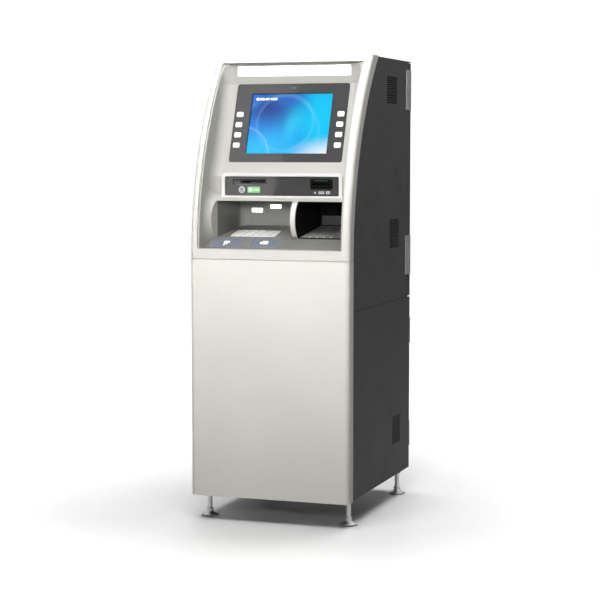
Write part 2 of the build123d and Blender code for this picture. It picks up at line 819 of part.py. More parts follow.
with BuildPart() as safe_door:
    with BuildSketch(front_view(door_front_face)):
        with Locations((0, (safe_bottom + safe_top) / 2)):
            Rectangle(2 * (safe_half - 2), safe_top - safe_bottom - 8)
    extrude(amount=-door_thick)
    # Guide blocks of the lock bolts, on the inner face
    with BuildSketch(front_view(door_front_face)):
        with Locations(*[(-230, z) for z in bolt_heights]):
            Rectangle(30, 40)
    extrude(amount=36)
    with BuildSketch(side_view(-246)):
        with Locations(*[(carriage_depth, z) for z in bolt_heights]):
            Circle(bolt_radius + run_gap)
    extrude(amount=32, mode=Mode.SUBTRACT)
    for low, high in safe_hinges:
        middle_z = (low + high) / 2
        with BuildSketch(plan_view(middle_z + 0.5)):
            with Locations((234, door_back_face + 3)):
                Rectangle(88, 6)
            with Locations((hinge_x, hinge_depth)):
                Circle(hinge_radius)
        extrude(amount=high - middle_z - 0.5)
        with BuildSketch(plan_view(middle_z + 0.5)):
            with Locations((hinge_x, hinge_depth)):
                Circle(pin_radius + run_gap)
        extrude(amount=high - middle_z, mode=Mode.SUBTRACT)
    with BuildSketch(front_view(door_front_face)):
        with Locations((spindle_x, spindle_z)):
            Circle(stem_radius + run_gap)
        with Locations((dial_x, dial_z)):
            Circle(pin_radius + run_gap)
    extrude(amount=-door_thick, mode=Mode.SUBTRACT)
safe_door.part.label = "safe_door"
export_step(safe_door.part, "parts/safe_door.step")

with BuildPart() as lock_bolts:
    with BuildSketch(side_view(-252)):
        with Locations(*[(carriage_depth, z) for z in bolt_heights]):
            Circle(bolt_radius)
    extrude(amount=87)
    with BuildSketch(front_view(carriage_depth - 6)):
        with Locations((-169, 430)):
            Rectangle(12, bolt_heights[2] - bolt_heights[0] + 24)
        with Locations((-92, spindle_z + pinion_radius + 0.3 + 6)):
            Rectangle(146, 12)
    extrude(amount=-12)
lock_bolts.part.label = "lock_bolts"
export_step(lock_bolts.part, "parts/lock_bolts.step")

with BuildPart() as safe_handle:
    with BuildSketch(front_view(carriage_depth - 6)):
        with Locations((spindle_x, spindle_z)):
            Circle(pinion_radius)
    extrude(amount=-12)
    with BuildSketch(front_view(carriage_depth - 6)):
        with Locations((spindle_x, spindle_z)):
            Circle(stem_radius)
    extrude(amount=-(door_back_face + 6 - carriage_depth + 6))
    with BuildSketch(front_view(door_back_face + 0.4)):
        with Locations((spindle_x, spindle_z)):
            Circle(20)
    extrude(amount=-10)
    with BuildSketch(front_view(door_back_face + 9)):
        with Locations((spindle_x, spindle_z)):
            SlotOverall(150, 20)
    extrude(amount=-10)
    fillet(safe_handle.faces().sort_by(Axis.Y)[-1].edges(), 3)
safe_handle.part.label = "safe_handle"
export_step(safe_handle.part, "parts/safe_handle.step")

with BuildPart() as combination_dial:
    with BuildSketch(front_view(door_front_face - 5)):
        with Locations((dial_x, dial_z)):
            Circle(pin_radius)
    extrude(amount=-(door_thick + 10))
    with BuildSketch(front_view(door_back_face + 0.4)):
        with Locations((dial_x, dial_z)):
            Circle(34)
    extrude(amount=-7)
    chamfer(combination_dial.faces().sort_by(Axis.Y)[-1].edges(), 2)
    with BuildSketch(front_view(door_back_face + 7)):
        with Locations((dial_x, dial_z)):
            Circle(17)
    extrude(amount=-11)
    fillet(combination_dial.faces().sort_by(Axis.Y)[-1].edges(), 2)
combination_dial.part.label = "combination_dial"
export_step(combination_dial.part, "parts/combination_dial.step")

# ---------------------------------------------------------------- rear service door

service_bottom = cabinet_seam + 3
latch_x, latch_z, latch_radius = -250, 1184, 6
leaf_plate = 1.6
leaf_gap = 0.6

with BuildPart() as service_door:
    with BuildSketch(front_view(door_front)):
        with Locations((0, (service_bottom + service_top) / 2)):
            Rectangle(2 * skin_x, service_top - service_bottom)
    extrude(amount=-(body_back - door_front))
    with BuildSketch(front_view(door_front)):
        with Locations((0, (service_bottom + service_top) / 2)):
            Rectangle(2 * (skin_x - skin), service_top - service_bottom - 2 * skin)
    extrude(amount=-(body_back - door_front - skin), mode=Mode.SUBTRACT)
    for low, high in service_hinges:
        with BuildSketch(plan_view(low - 1)):
            with Locations(leaf_pin):
                Circle(leaf_radius + leaf_gap)
        extrude(amount=high - low + 2, mode=Mode.SUBTRACT)
    with BuildSketch(front_view(door_front)):
        with Locations((latch_x, latch_z)):
            Circle(latch_radius + run_gap)
    extrude(amount=-40, mode=Mode.SUBTRACT)
service_door.part.label = "service_door"
export_step(service_door.part, "parts/service_door.step")

with BuildPart() as service_latch:
    with BuildSketch(front_view(728)):
        with Locations((latch_x, latch_z)):
            Circle(latch_radius)
    extrude(amount=-44)
    with BuildSketch(front_view(728)):
        with Locations((latch_x, latch_z - 10)):
            Rectangle(14, 40)
    extrude(amount=-3)
    with BuildSketch(front_view(body_back + 0.4)):
        with Locations((latch_x, latch_z)):
            Circle(16)
    extrude(amount=-6)
    with BuildSketch(front_view(body_back + 4)):
        with Locations((latch_x, latch_z)):
            SlotOverall(104, 18, rotation=90)
    extrude(amount=-8)
    fillet(service_latch.faces().sort_by(Axis.Y)[-1].edges(), 3)
service_latch.part.label = "service_latch"
export_step(service_latch.part, "parts/service_latch.step")


def leaf_rectangle(x_low, x_high, d_low, d_high):
    """A rectangle of a hinge leaf, given by its edges in plan."""
    with Locations(((x_low + x_high) / 2, (d_low + d_high) / 2)):
        Rectangle(x_high - x_low, d_high - d_low)


leaf_pin_radius = 2.5
leaf_outer = skin_x + leaf_plate
leaf_depths = (720, 730.2, 739.8, body_back + leaf_plate)
knuckle_gap = 0.3

with BuildPart() as hinge_leaves_fixed:
    for low, high in service_hinges:
        third = (high - low) / 3
        with BuildSketch(plan_view(low)):
            leaf_rectangle(skin_x, leaf_outer, leaf_depths[0], leaf_depths[1])
        extrude(amount=high - low)
        for start_z in (low, high - third + knuckle_gap):
            with BuildSketch(plan_view(start_z)):
                leaf_rectangle(skin_x, leaf_outer, leaf_depths[1] - 0.2, leaf_pin[1])
                with Locations(leaf_pin):
                    Circle(leaf_radius)
            extrude(amount=third - knuckle_gap)
        with BuildSketch(plan_view(low)):
            with Locations(leaf_pin):
                Circle(leaf_pin_radius)
        extrude(amount=high - low)
hinge_leaves_fixed.part.label = "hinge_leaves_fixed"
export_step(hinge_leaves_fixed.part, "parts/hinge_leaves_fixed.step")

with BuildPart() as hinge_leaves_door:
    for low, high in service_hinges:
        third = (high - low) / 3
        with BuildSketch(plan_view(low)):
            leaf_rectangle(skin_x, leaf_outer, leaf_depths[2], leaf_depths[3])
            leaf_rectangle(262, leaf_outer, body_back, leaf_depths[3])
        extrude(amount=high - low)
        with BuildSketch(plan_view(low + third + knuckle_gap)):
            leaf_rectangle(skin_x, leaf_outer, leaf_pin[1], leaf_depths[2] + 0.2)
            with Locations(leaf_pin):
                Circle(leaf_radius)
                Circle(leaf_pin_radius + run_gap, mode=Mode.SUBTRACT)
        extrude(amount=third - 2 * knuckle_gap)
hinge_leaves_door.part.label = "hinge_leaves_door"
export_step(hinge_leaves_door.part, "parts/hinge_leaves_door.step")

# ---------------------------------------------------------------- control computer

with BuildPart() as control_computer:
    with BuildSketch(plan_view(safe_top)):
        with Locations((-160, 560)):
            Rectangle(180, 310)
    extrude(amount=350)
    fillet(control_computer.edges().filter_by(Axis.Z), 4)
    # Fan opening and mains inlet in the service face
    with BuildSketch(front_view(715)):
        with Locations((-195, 1030)):
            Circle(38)
        with Locations((-115, 1040)):
            RectangleRounded(28, 20, 3)
    extrude(amount=18, mode=Mode.SUBTRACT)
control_computer.part.label = "control_computer"
export_step(control_computer.part, "parts/control_computer.step")
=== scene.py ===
import json
import math

import bpy
from mathutils import Matrix, Vector


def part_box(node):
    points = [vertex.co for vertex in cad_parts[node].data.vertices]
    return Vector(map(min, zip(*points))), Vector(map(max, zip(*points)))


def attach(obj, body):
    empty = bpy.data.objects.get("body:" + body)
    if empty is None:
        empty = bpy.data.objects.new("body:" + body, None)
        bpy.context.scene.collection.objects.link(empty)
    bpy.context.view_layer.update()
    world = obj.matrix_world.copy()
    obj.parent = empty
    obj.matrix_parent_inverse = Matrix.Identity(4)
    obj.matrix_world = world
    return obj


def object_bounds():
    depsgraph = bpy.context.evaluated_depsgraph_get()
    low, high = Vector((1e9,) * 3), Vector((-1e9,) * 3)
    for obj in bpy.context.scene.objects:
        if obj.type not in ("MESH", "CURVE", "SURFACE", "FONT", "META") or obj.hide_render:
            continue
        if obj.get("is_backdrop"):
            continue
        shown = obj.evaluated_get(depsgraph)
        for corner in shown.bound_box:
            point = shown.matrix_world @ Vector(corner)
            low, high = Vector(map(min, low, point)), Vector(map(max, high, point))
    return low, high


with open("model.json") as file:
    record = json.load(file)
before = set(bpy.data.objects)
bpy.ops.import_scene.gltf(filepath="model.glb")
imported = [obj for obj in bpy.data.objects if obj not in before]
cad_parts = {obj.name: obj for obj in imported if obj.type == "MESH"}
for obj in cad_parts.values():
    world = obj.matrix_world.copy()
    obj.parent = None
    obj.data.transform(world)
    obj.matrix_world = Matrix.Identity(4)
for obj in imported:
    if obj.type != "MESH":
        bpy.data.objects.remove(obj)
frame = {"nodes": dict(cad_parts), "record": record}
cad_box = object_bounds()
nodes = frame["nodes"]
front = cad_box[0].y
scene = bpy.context.scene
scene.view_settings.view_transform = "Standard"

# ---------------------------------------------------------------- shader helper


class Shader:
    """A Principled material and short ways to add texture nodes to it."""

    def __init__(self, name, **values):
        self.material = bpy.data.materials.new(name)
        self.material.use_nodes = True
        self.tree = self.material.node_tree
        self.bsdf = self.tree.nodes["Principled BSDF"]
        self.coords = self.tree.nodes.new("ShaderNodeTexCoord")
        for key, value in values.items():
            self.put(key, value)

    def put(self, key, value):
        """Sets or links one socket of the shader, named with underscores."""
        self.join(value, self.bsdf.inputs[key.replace("_", " ")])

    def join(self, value, socket):
        if isinstance(value, bpy.types.NodeSocket):
            self.tree.links.new(value, socket)
        elif isinstance(value, (tuple, list)) and len(value) == 3 and socket.type == "RGBA":
            socket.default_value = (*value, 1)
        else:
            socket.default_value = value

    def node(self, kind, inputs=(), **settings):
        made = self.tree.nodes.new("ShaderNode" + kind)
        for key, value in settings.items():
            setattr(made, key, value)
        for key, value in dict(inputs).items():
            self.join(value, made.inputs[key])
        return made

    def stretched(self, scale):
        """Object coordinates with each axis scaled, for grain that runs one way."""
        return self.node("Mapping", {"Vector": self.coords.outputs["Object"], "Scale": scale}).outputs[0]

    def noise(self, scale, detail=2, where=None, roughness=0.5):
        where = where or self.coords.outputs["Object"]
        inputs = {"Vector": where, "Scale": scale, "Detail": detail, "Roughness": roughness}
        return self.node("TexNoise", inputs).outputs["Fac"]

    def math(self, operation, a, b=0.0):
        return self.node("Math", {0: a, 1: b}, operation=operation).outputs[0]

    def product(self, first, *others):
        for other in others:
            first = self.math("MULTIPLY", first, other)
        return first

    def length(self, a, b):
        """How long the flat vector (a, b) is."""
        return self.math("SQRT", self.math("ADD", self.product(a, a), self.product(b, b)))

    def span(self, value, low, high, to_low=0.0, to_high=1.0, smooth=True):
        """Maps low..high to to_low..to_high and holds the ends."""
        inputs = {"Value": value, "From Min": low, "From Max": high, "To Min": to_low, "To Max": to_high}
        kind = "SMOOTHSTEP" if smooth else "LINEAR"
        return self.node("MapRange", inputs, interpolation_type=kind).outputs["Result"]

    def mix(self, share, a, b):
        """Colour a where share is 0, colour b where it is 1."""
        return self.node("Mix", {0: share, 6: a, 7: b}, data_type="RGBA").outputs[2]

    def split(self, vector):
        return self.node("SeparateXYZ", {"Vector": vector}).outputs

    def axes(self, source="Object"):
        return self.split(self.coords.outputs[source])

    def surface_normal(self):
        return self.node("NewGeometry").outputs["Normal"]

    def bump(self, height, strength, distance, normal=None):
        inputs = {"Height": height, "Strength": strength, "Distance": distance}
        if normal:
            inputs["Normal"] = normal
        return self.node("Bump", inputs).outputs[0]

    def soft_edges(self, radius):
        return self.node("Bevel", {"Radius": radius}, samples=4).outputs[0]

    def edge_mask(self, soft):
        """1 where the surface bends sharply, 0 on the flat."""
        pair = {0: soft, 1: self.surface_normal()}
        same = self.node("VectorMath", pair, operation="DOT_PRODUCT").outputs["Value"]
        return self.span(same, 0.995, 0.9)

    def dust(self, amount):
        """Where a little dust settles: on faces that look up, in soft patches."""
        up = self.split(self.surface_normal())[2]
        patch = self.span(self.noise(9, 3), 0.35, 0.7)
        return self.product(self.span(up, 0.5, 1.0), patch, amount)


fine_edge = 0.0006
sheet_edge = 0.0012
dust_color = (0.55, 0.53, 0.5)


def painted(name, color, tint, roughness, grain, grain_depth,
            edge=sheet_edge, shine=0.5, wear=0.25, worn=None):
    """Painted or powder-coated sheet: orange peel, faint mottling, rubbed edges and smudges."""
    s = Shader(name)
    soft = s.soft_edges(edge)
    mottled = s.mix(s.span(s.noise(3.2, 4), 0.3, 0.7), color, tint)
    fine = s.mix(s.product(s.span(s.noise(140, 2), 0.42, 0.7), 0.35), mottled, tint)
    rubbed = s.product(s.edge_mask(soft), s.span(s.noise(55, 3), 0.45, 0.62, 0.0, wear))
    worn_color = worn or tuple(min(1.0, c * 1.25 + 0.02) for c in color)
    s.put("Base_Color", s.mix(rubbed, fine, worn_color))
    smudge = s.span(s.noise(6, 5, roughness=0.65), 0.4, 0.75)
    s.put("Roughness", s.span(smudge, 0, 1, roughness - 0.02, roughness + 0.04, False))
    s.put("Normal", s.bump(s.noise(grain, 3), 0.35, grain_depth, soft))
    s.put("Specular_IOR_Level", shine)
    return s.material


def moulded(name, color, tint, roughness, grain=2600, depth=0.00005,
            edge=sheet_edge, coat=0.0, dust=0.18, shine=0.5):
    """Moulded plastic: spark-eroded grain, faint flow marks, hands' polish and dust."""
    s = Shader(name)
    soft = s.soft_edges(edge)
    flow = s.noise(4, 3, s.stretched((1, 1, 0.35)))
    base = s.mix(s.span(flow, 0.35, 0.7), color, tint)
    speck = s.mix(s.product(s.span(s.noise(420, 1), 0.6, 0.75), 0.25), base, tint)
    s.put("Base_Color", s.mix(s.dust(dust), speck, dust_color))
    s.put("Roughness", s.span(s.noise(11, 4), 0.3, 0.75, roughness - 0.07, roughness + 0.08))
    s.put("Normal", s.bump(s.noise(grain, 2), 0.5, depth, soft))
    s.put("Coat_Weight", coat)
    s.put("Specular_IOR_Level", shine)
    return s.material


def metal(name, color, roughness, grain_scale, streak=(1, 60, 60), bare=1.0):
    """Metal with drawn grain, uneven polish and finger marks; bare is under 1 for a lacquered one."""
    s = Shader(name, Metallic=bare)
    soft = s.soft_edges(fine_edge)
    grain = s.noise(grain_scale, 3, s.stretched(streak))
    stain = s.span(s.noise(14, 4), 0.35, 0.75)
    dark = tuple(c * 0.8 for c in color)
    s.put("Base_Color", s.mix(s.product(stain, 0.6), s.mix(grain, color, dark), dark))
    polish = s.span(grain, 0.3, 0.7, roughness * 0.75, roughness * 1.25)
    s.put("Roughness", s.math("ADD", polish, s.product(stain, 0.06)))
    s.put("Normal", s.bump(grain, 0.4, 0.00002, soft))
    return s.material


def lit(name, color, strength):
    """Opal diffuser lit from behind, a little dimmer in patches."""
    s = Shader(name, Base_Color=(0.8, 0.8, 0.8), Roughness=0.35)
    uneven = s.span(s.noise(18, 2), 0.2, 0.8, 0.92, 1.0)
    s.put("Emission_Color", s.mix(uneven, tuple(c * 0.8 for c in color), color))
    s.put("Emission_Strength", strength)
    s.put("Normal", s.bump(s.noise(900, 1), 0.2, 0.00003))
    return s.material


def gloss_panel(name, color, roughness=0.03):
    """Hard-coated gloss panel with fine swirl marks and finger smudges."""
    s = Shader(name)
    soft = s.soft_edges(0.0007)
    tint = tuple(c * 1.25 for c in color)
    s.put("Base_Color", s.mix(s.span(s.noise(5, 3), 0.3, 0.7), color, tint))
    smear = s.span(s.noise(16, 5, s.stretched((1, 1, 2.5)), 0.6), 0.5, 0.8)
    fine = s.span(s.noise(700, 1, s.stretched((1, 8, 8))), 0.5, 0.8)
    marks = s.math("ADD", s.product(smear, 0.07), s.product(fine, 0.02))
    s.put("Roughness", s.math("ADD", roughness, marks))
    s.put("Normal", s.bump(s.noise(60, 2), 0.08, 0.0001, soft))
    s.put("Coat_Weight", 0.4)
    s.put("Coat_Roughness", 0.04)
    return s.material


def fascia_plastic():
    """The fascia's moulding: warm grey, with painted shade in the caves, deeper on their side walls
    and on their shelf, and lighter on the raised border around the strip panel."""
    s = Shader("grey_plastic")
    soft = s.soft_edges(0.002)
    flow = s.span(s.noise(4, 3, s.stretched((1, 1, 0.35))), 0.35, 0.7)
    x, y, z = s.axes()
    facing_x, _, facing_up = s.split(s.surface_normal())
    # Painted shade: the caves' insides are darkened, and their side walls and the upward faces of their
    # shelf more so.
    cave_shade = s.product(s.span(y, front + 0.108, front + 0.116), s.span(z, 1.1215, 1.119))
    cave_wall_shade = s.product(cave_shade, s.span(s.math("ABSOLUTE", facing_x), 0.7, 0.9))
    shelf = s.product(s.span(facing_up, 0.74, 0.82), s.span(z, 1.08, 1.07))
    raised = s.product(s.span(s.math("ABSOLUTE", x), 0.225, 0.223),
                       s.span(y, front + 0.1337, front + 0.1334), s.span(y, front + 0.12, front + 0.129),
                       s.span(z, 1.128, 1.134), s.span(z, 1.218, 1.217))
    tone = s.mix(flow, (0.405, 0.397, 0.369), (0.383, 0.375, 0.349))
    # The caves, their side walls and the shelf get painted shade; the raised border gets its lighter tone.
    for where, color in ((cave_shade, (0.27, 0.267, 0.25)), (cave_wall_shade, (0.13, 0.128, 0.12)),
                         (shelf, (0.14, 0.138, 0.128)), (raised, (0.66, 0.65, 0.61))):
        tone = s.mix(where, tone, color)
    s.put("Base_Color", s.mix(s.dust(0.12), tone, (0.4, 0.385, 0.36)))
    s.put("Roughness", s.span(s.noise(11, 4), 0.3, 0.75, 0.34, 0.48))
    s.put("Normal", s.bump(s.noise(2600, 2), 0.5, 0.00005, soft))
    return s.material


cream = (0.79, 0.765, 0.715)
cream_tint = (0.745, 0.722, 0.672)
looks = {
    "cream_steel": painted("cream_steel", cream, cream_tint, 0.42, 650, 0.00012, wear=0.1),
    "cream_plastic": painted("cream_plastic", (0.68, 0.665, 0.625), (0.65, 0.635, 0.6), 0.4, 900, 0.00006,
                             wear=0.06),
    "dark_steel": painted("dark_steel", (0.045, 0.045, 0.046), (0.049, 0.049, 0.05), 0.5, 1500, 0.0002,
                          shine=0.3, wear=0.15, worn=(0.09, 0.09, 0.09)),
    "grey_plastic": fascia_plastic(),
    "lamp_white": lit("lamp_white", (1.0, 1.0, 0.97), 2.2),
    "black_gloss": gloss_panel("black_gloss", (0.04, 0.0395, 0.039)),
    "screen": gloss_panel("screen_edge", (0.01, 0.012, 0.02), 0.12),
    "key_white": moulded("key_white", (0.86, 0.86, 0.84), (0.8, 0.8, 0.78), 0.3, edge=0.0008, coat=0.3),
    "key_steel": metal("key_steel", (0.9, 0.9, 0.88), 0.42, 24, bare=0.35),
    "black_plastic": moulded("black_plastic", (0.005, 0.005, 0.005), (0.008, 0.008, 0.008), 0.45,
                             dust=0.02, shine=0.06),
    "dark_plastic": moulded("dark_plastic", (0.05, 0.05, 0.052), (0.065, 0.065, 0.066), 0.45, dust=0.08),
    "paper": moulded("paper", (0.86, 0.85, 0.81), (0.8, 0.79, 0.75), 0.75, grain=900),
    "chrome": metal("chrome", (0.97, 0.97, 0.97), 0.34, 8, streak=(1, 1, 1)),
    "zinc_steel": metal("zinc_steel", (0.5, 0.51, 0.52), 0.36, 10, streak=(1, 1, 12)),
    "hinge_grey": painted("hinge_grey", (0.4, 0.4, 0.4), (0.37, 0.37, 0.37), 0.38, 900, 0.00008,
                          edge=fine_edge),
    "safe_paint": painted("safe_paint", (0.16, 0.165, 0.17), (0.2, 0.205, 0.21), 0.4, 260, 0.0006),
}

subparts = {part["node"]: part["material_slot"] for part in frame["record"]["subparts"]}
for name, thing in nodes.items():
    thing.data.materials.clear()
    thing.data.materials.append(looks[subparts[name]])

# ---------------------------------------------------------------- mesh helpers


def at(x, behind, z):
    """A point given in millimetres: across, behind the front face, above the floor."""
    return Vector((x / 1000, front + behind / 1000, z / 1000))


def mm(points):
    return [(x / 1000, y / 1000) for x, y in points]


def frame_matrix(origin, across, normal):
    """Local X runs across, local Z along the normal."""
    z = Vector(normal).normalized()
    x = Vector(across).normalized()
    y = z.cross(x)
    m = Matrix((x, y, z)).transposed().to_4x4()
    m.translation = Vector(origin)
    return m


def facing_front(y, x=0, z=0):
    """A frame on a face that looks forward; its X runs to the right, its Y up."""
    return frame_matrix((x, y, z), (1, 0, 0), (0, -1, 0))


def facing_back(y, x=0, z=0):
    """A frame on a face that looks back; its X runs to the left, its Y up."""
    return frame_matrix((x, y, z), (-1, 0, 0), (0, 1, 0))


def facing_right(origin):
    """A frame on a face that looks to the right; its X runs backwards, its Y up."""
    return frame_matrix(origin, (0, 1, 0), (1, 0, 0))


def add_mesh(name, verts, faces, material, body, smooth=False):
    mesh = bpy.data.meshes.new(name)
    mesh.from_pydata([tuple(v) for v in verts], [], faces)
    mesh.update()
    thing = bpy.data.objects.new(name, mesh)
    scene.collection.objects.link(thing)
    mesh.materials.append(material)
    if smooth:
        mesh.polygons.foreach_set("use_smooth", [True] * len(mesh.polygons))
    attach(thing, body)
    return thing


def rounded(width, height, radius, steps=5, centre=(0, 0)):
    """Outline of a rounded rectangle, anticlockwise."""
    radius = min(radius, width / 2, height / 2)
    points = []
    for k, (sx, sy) in enumerate(((1, 1), (-1, 1), (-1, -1), (1, -1))):
        for i in range(steps + 1):
            a = math.pi / 2 * (k + i / steps)
            x = centre[0] + sx * (width / 2 - radius) + radius * math.cos(a)
            y = centre[1] + sy * (height / 2 - radius) + radius * math.sin(a)
            points.append((x, y))
    return points


def circle(radius, steps=32, centre=(0, 0)):
    turn = 2 * math.pi / steps
    return [(centre[0] + radius * math.cos(i * turn), centre[1] + radius * math.sin(i * turn))
            for i in range(steps)]


def spoke(centre, angle, inner, outer, half_width):
    """Outline of a thin bar that points away from a centre."""
    c, s = math.cos(angle), math.sin(angle)
    corners = ((inner, -half_width), (outer, -half_width), (outer, half_width), (inner, half_width))
    return [(centre[0] + r * c - w * s, centre[1] + r * s + w * c) for r, w in corners]


def prism(name, outlines, low, high, place, material, body, bevel=0.0):
    """Flat pieces with the given outlines, from low to high along the local normal, top edges bevelled."""
    verts, faces = [], []
    for outline in outlines:
        n = len(outline)
        cx = sum(p[0] for p in outline) / n
        cy = sum(p[1] for p in outline) / n
        reach = max(math.hypot(p[0] - cx, p[1] - cy) for p in outline)
        rings = [(1.0, low), (1.0, high)]
        if bevel:
            rings[1:] = [(1.0, high - bevel), (1.0 - bevel / reach, high)]
        start = len(verts)
        for scale, z in rings:
            verts += [place @ Vector((cx + (x - cx) * scale, cy + (y - cy) * scale, z))
                      for x, y in outline]
        for r in range(len(rings) - 1):
            a = start + r * n
            faces += [(a + i, a + (i + 1) % n, a + n + (i + 1) % n, a + n + i) for i in range(n)]
        top = start + (len(rings) - 1) * n
        faces.append(tuple(top + i for i in range(n)))
        faces.append(tuple(start + i for i in reversed(range(n))))
    add_mesh(name, verts, faces, material, body)


def ring(name, outer, inner, low, high, place, material, body):
    """A flat band between two outlines with as many points each."""
    n = len(outer)
    verts = [place @ Vector((x, y, z)) for z in (low, high) for loop in (outer, inner) for x, y in loop]
    faces = []
    for i in range(n):
        j = (i + 1) % n
        faces.append((2 * n + i, 2 * n + j, 3 * n + j, 3 * n + i))
        faces.append((i, n + i, n + j, j))
        faces.append((i, j, 2 * n + j, 2 * n + i))
        faces.append((n + j, n + i, 3 * n + i, 3 * n + j))
    add_mesh(name, verts, faces, material, body)


def loft(name, loops, place, material, body):
    """A thin shell through outlines at given depths."""
    verts, faces = [], []
    n = len(loops[0][1])
    for depth, loop in loops:
        verts += [place @ Vector((x, y, depth)) for x, y in loop]
    for k in range(len(loops) - 1):
        for i in range(n):
            j = (i + 1) % n
            faces.append((k * n + i, (k + 1) * n + i, (k + 1) * n + j, k * n + j))
    shell = add_mesh(name, verts, faces, material, body).modifiers.new("wall", "SOLIDIFY")
    shell.thickness = 0.0008
    shell.offset = 1


def lathe(name, profile, place, material, body, steps=40):
    """A round piece: (radius, height) points turned about the local normal."""
    verts, faces = [], []
    for r, z in profile:
        r = max(r, 1e-5)
        for i in range(steps):
            a = 2 * math.pi * i / steps
            verts.append(place @ Vector((r * math.cos(a), r * math.sin(a), z)))
    for k in range(len(profile) - 1):
        for i in range(steps):
            j = (i + 1) % steps
            faces.append((k * steps + i, k * steps + j, (k + 1) * steps + j, (k + 1) * steps + i))
    thing = add_mesh(name, verts, faces, material, body, smooth=True)
    sharp = thing.modifiers.new("edges", "EDGE_SPLIT")
    sharp.split_angle = math.radians(35)


ink_depth = 0.00015


def label(name, digits, size, place, material, body):
    """Printed digits as thin raised mesh."""
    curve = bpy.data.curves.new(name, "FONT")
    curve.body = digits
    curve.size = size
    curve.align_x = "CENTER"
    curve.align_y = "CENTER"
    curve.extrude = ink_depth / 2
    curve.resolution_u = 3
    maker = bpy.data.objects.new(name + "_source", curve)
    scene.collection.objects.link(maker)
    bpy.context.view_layer.update()
    mesh = bpy.data.meshes.new_from_object(maker.evaluated_get(bpy.context.evaluated_depsgraph_get()))
    bpy.data.objects.remove(maker)
    mesh.transform(place @ Matrix.Translation((0, 0, ink_depth / 2)))
    mesh.materials.clear()
    mesh.materials.append(material)
    thing = bpy.data.objects.new(name, mesh)
    scene.collection.objects.link(thing)
    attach(thing, body)


def arc_through(p, q, r):
    """Centre and radius of the circle through three points."""
    ax, ay, bx, by = q[0] - p[0], q[1] - p[1], r[0] - p[0], r[1] - p[1]
    a2, b2, cross = ax * ax + ay * ay, bx * bx + by * by, 2 * (ax * by - ay * bx)
    x, y = (by * a2 - ay * b2) / cross, (ax * b2 - bx * a2) / cross
    return (p[0] + x, p[1] + y), math.hypot(x, y)


def sloping(origin, slope):
    """A frame on a face that climbs backwards at an angle."""
    return frame_matrix(origin, (1, 0, 0), (0, -math.sin(slope), math.cos(slope)))


# Millimetres behind the front face and above the floor, as in the CAD.
apron_foot = (50, 957.5)
shelf_foot = (104, 990)
cave_bulge = (72, 1053)
cave_lip = (106, 1119)
bezel_run, bezel_rise = 98.9, 276.5

bezel_half_depth = 0.0029
bezel_low, bezel_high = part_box("screen_bezel")
lean = math.atan2(bezel_run, bezel_rise)
screen_normal = Vector((0, -math.cos(lean), math.sin(lean)))
bezel_face = (bezel_low + bezel_high) / 2 + screen_normal * bezel_half_depth
screen_place = frame_matrix(bezel_face, (1, 0, 0), screen_normal)
shelf_slope = math.radians(13)
shelf_place = sloping(at(0, *shelf_foot), shelf_slope)
apron_slope = math.atan2(shelf_foot[1] - apron_foot[1], shelf_foot[0] - apron_foot[0])
apron_place = sloping(at(0, *apron_foot), apron_slope)
strip_place = facing_front(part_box("strip_panel")[0].y)
door_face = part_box("service_door")[1].y
rear_place = facing_back(door_face)

# ---------------------------------------------------------------- screen


def screen_picture():
    """A generic lit wallpaper: blue deepening to one corner, pale to the other, with soft arcs."""
    s = Shader("screen_picture", Base_Color=(0.0, 0.005, 0.01), Roughness=0.1)
    u, _, v = s.axes("Generated")

    def away(cu, cv, ru, rv):
        across = s.product(s.math("SUBTRACT", u, cu), 1 / ru)
        up = s.product(s.math("SUBTRACT", v, cv), 1 / rv)
        return s.length(across, up)

    patches = (  # centre, radii, colour, amount
        (0.22, 0.78, 0.62, 0.55, (0.0, 0.035, 0.27), 1.0),
        (0.58, 0.45, 0.2, 0.4, (0.03, 0.66, 0.95), 0.8),
        (0.45, 0.93, 0.36, 0.2, (0.01, 0.1, 0.55), 0.9),
        (0.0, 0.9, 0.24, 0.3, (0.01, 0.16, 0.72), 0.75),
        (0.02, 0.42, 0.24, 0.28, (0.01, 0.2, 0.78), 0.7),
        (0.15, 0.05, 0.65, 0.5, (0.01, 0.54, 0.97), 0.95),
        (0.62, 0.3, 0.16, 0.45, (0.0, 0.36, 0.86), 0.6),
        (0.92, 0.6, 0.4, 0.5, (0.0, 0.62, 1.0), 0.8),
        (1.02, -0.03, 0.6, 0.38, (0.92, 0.98, 1.0), 1.0),
    )
    arcs = (  # centre, radius, width, amount
        (0.44, 0.52, 0.34, 0.03, 0.1),
        (-0.08, -0.02, 0.36, 0.025, 0.22),
        (0.36, 0.3, 0.5, 0.04, 0.07),
    )
    aspect = 1.33
    paint = s.mix(s.span(u, 0.0, 0.9), (0.003, 0.27, 0.86), (0.0, 0.52, 0.88))
    for cu, cv, ru, rv, color, amount in patches:
        paint = s.mix(s.span(away(cu, cv, ru, rv), 1.0, 0.0, 0.0, amount), paint, color)
    for cu, cv, radius, width, amount in arcs:
        off = s.math("ABSOLUTE", s.math("SUBTRACT", away(cu, cv, 1, aspect), radius))
        paint = s.mix(s.span(off, width, 0.0, 0.0, amount), paint, (0.45, 0.88, 1.0))
    s.put("Emission_Color", paint)
    s.put("Emission_Strength", 1.0)
    s.put("Normal", s.bump(s.noise(60, 2), 0.05, 0.00005))
    return s.material


def flat_color(name, color, roughness=0.5, glow=0.0):
    """Printed ink or a small lens: slightly uneven, softly rough."""
    s = Shader(name)
    shade = s.mix(s.span(s.noise(120, 3), 0.3, 0.7), color, tuple(c * 0.88 for c in color))
    s.put("Base_Color", shade)
    s.put("Roughness", s.span(s.noise(60, 2), 0.3, 0.7, roughness - 0.06, roughness + 0.08))
    s.put("Normal", s.bump(s.noise(2500, 1), 0.2, 0.00002))
    if glow:
        s.put("Emission_Color", shade)
        s.put("Emission_Strength", glow)
    return s.material
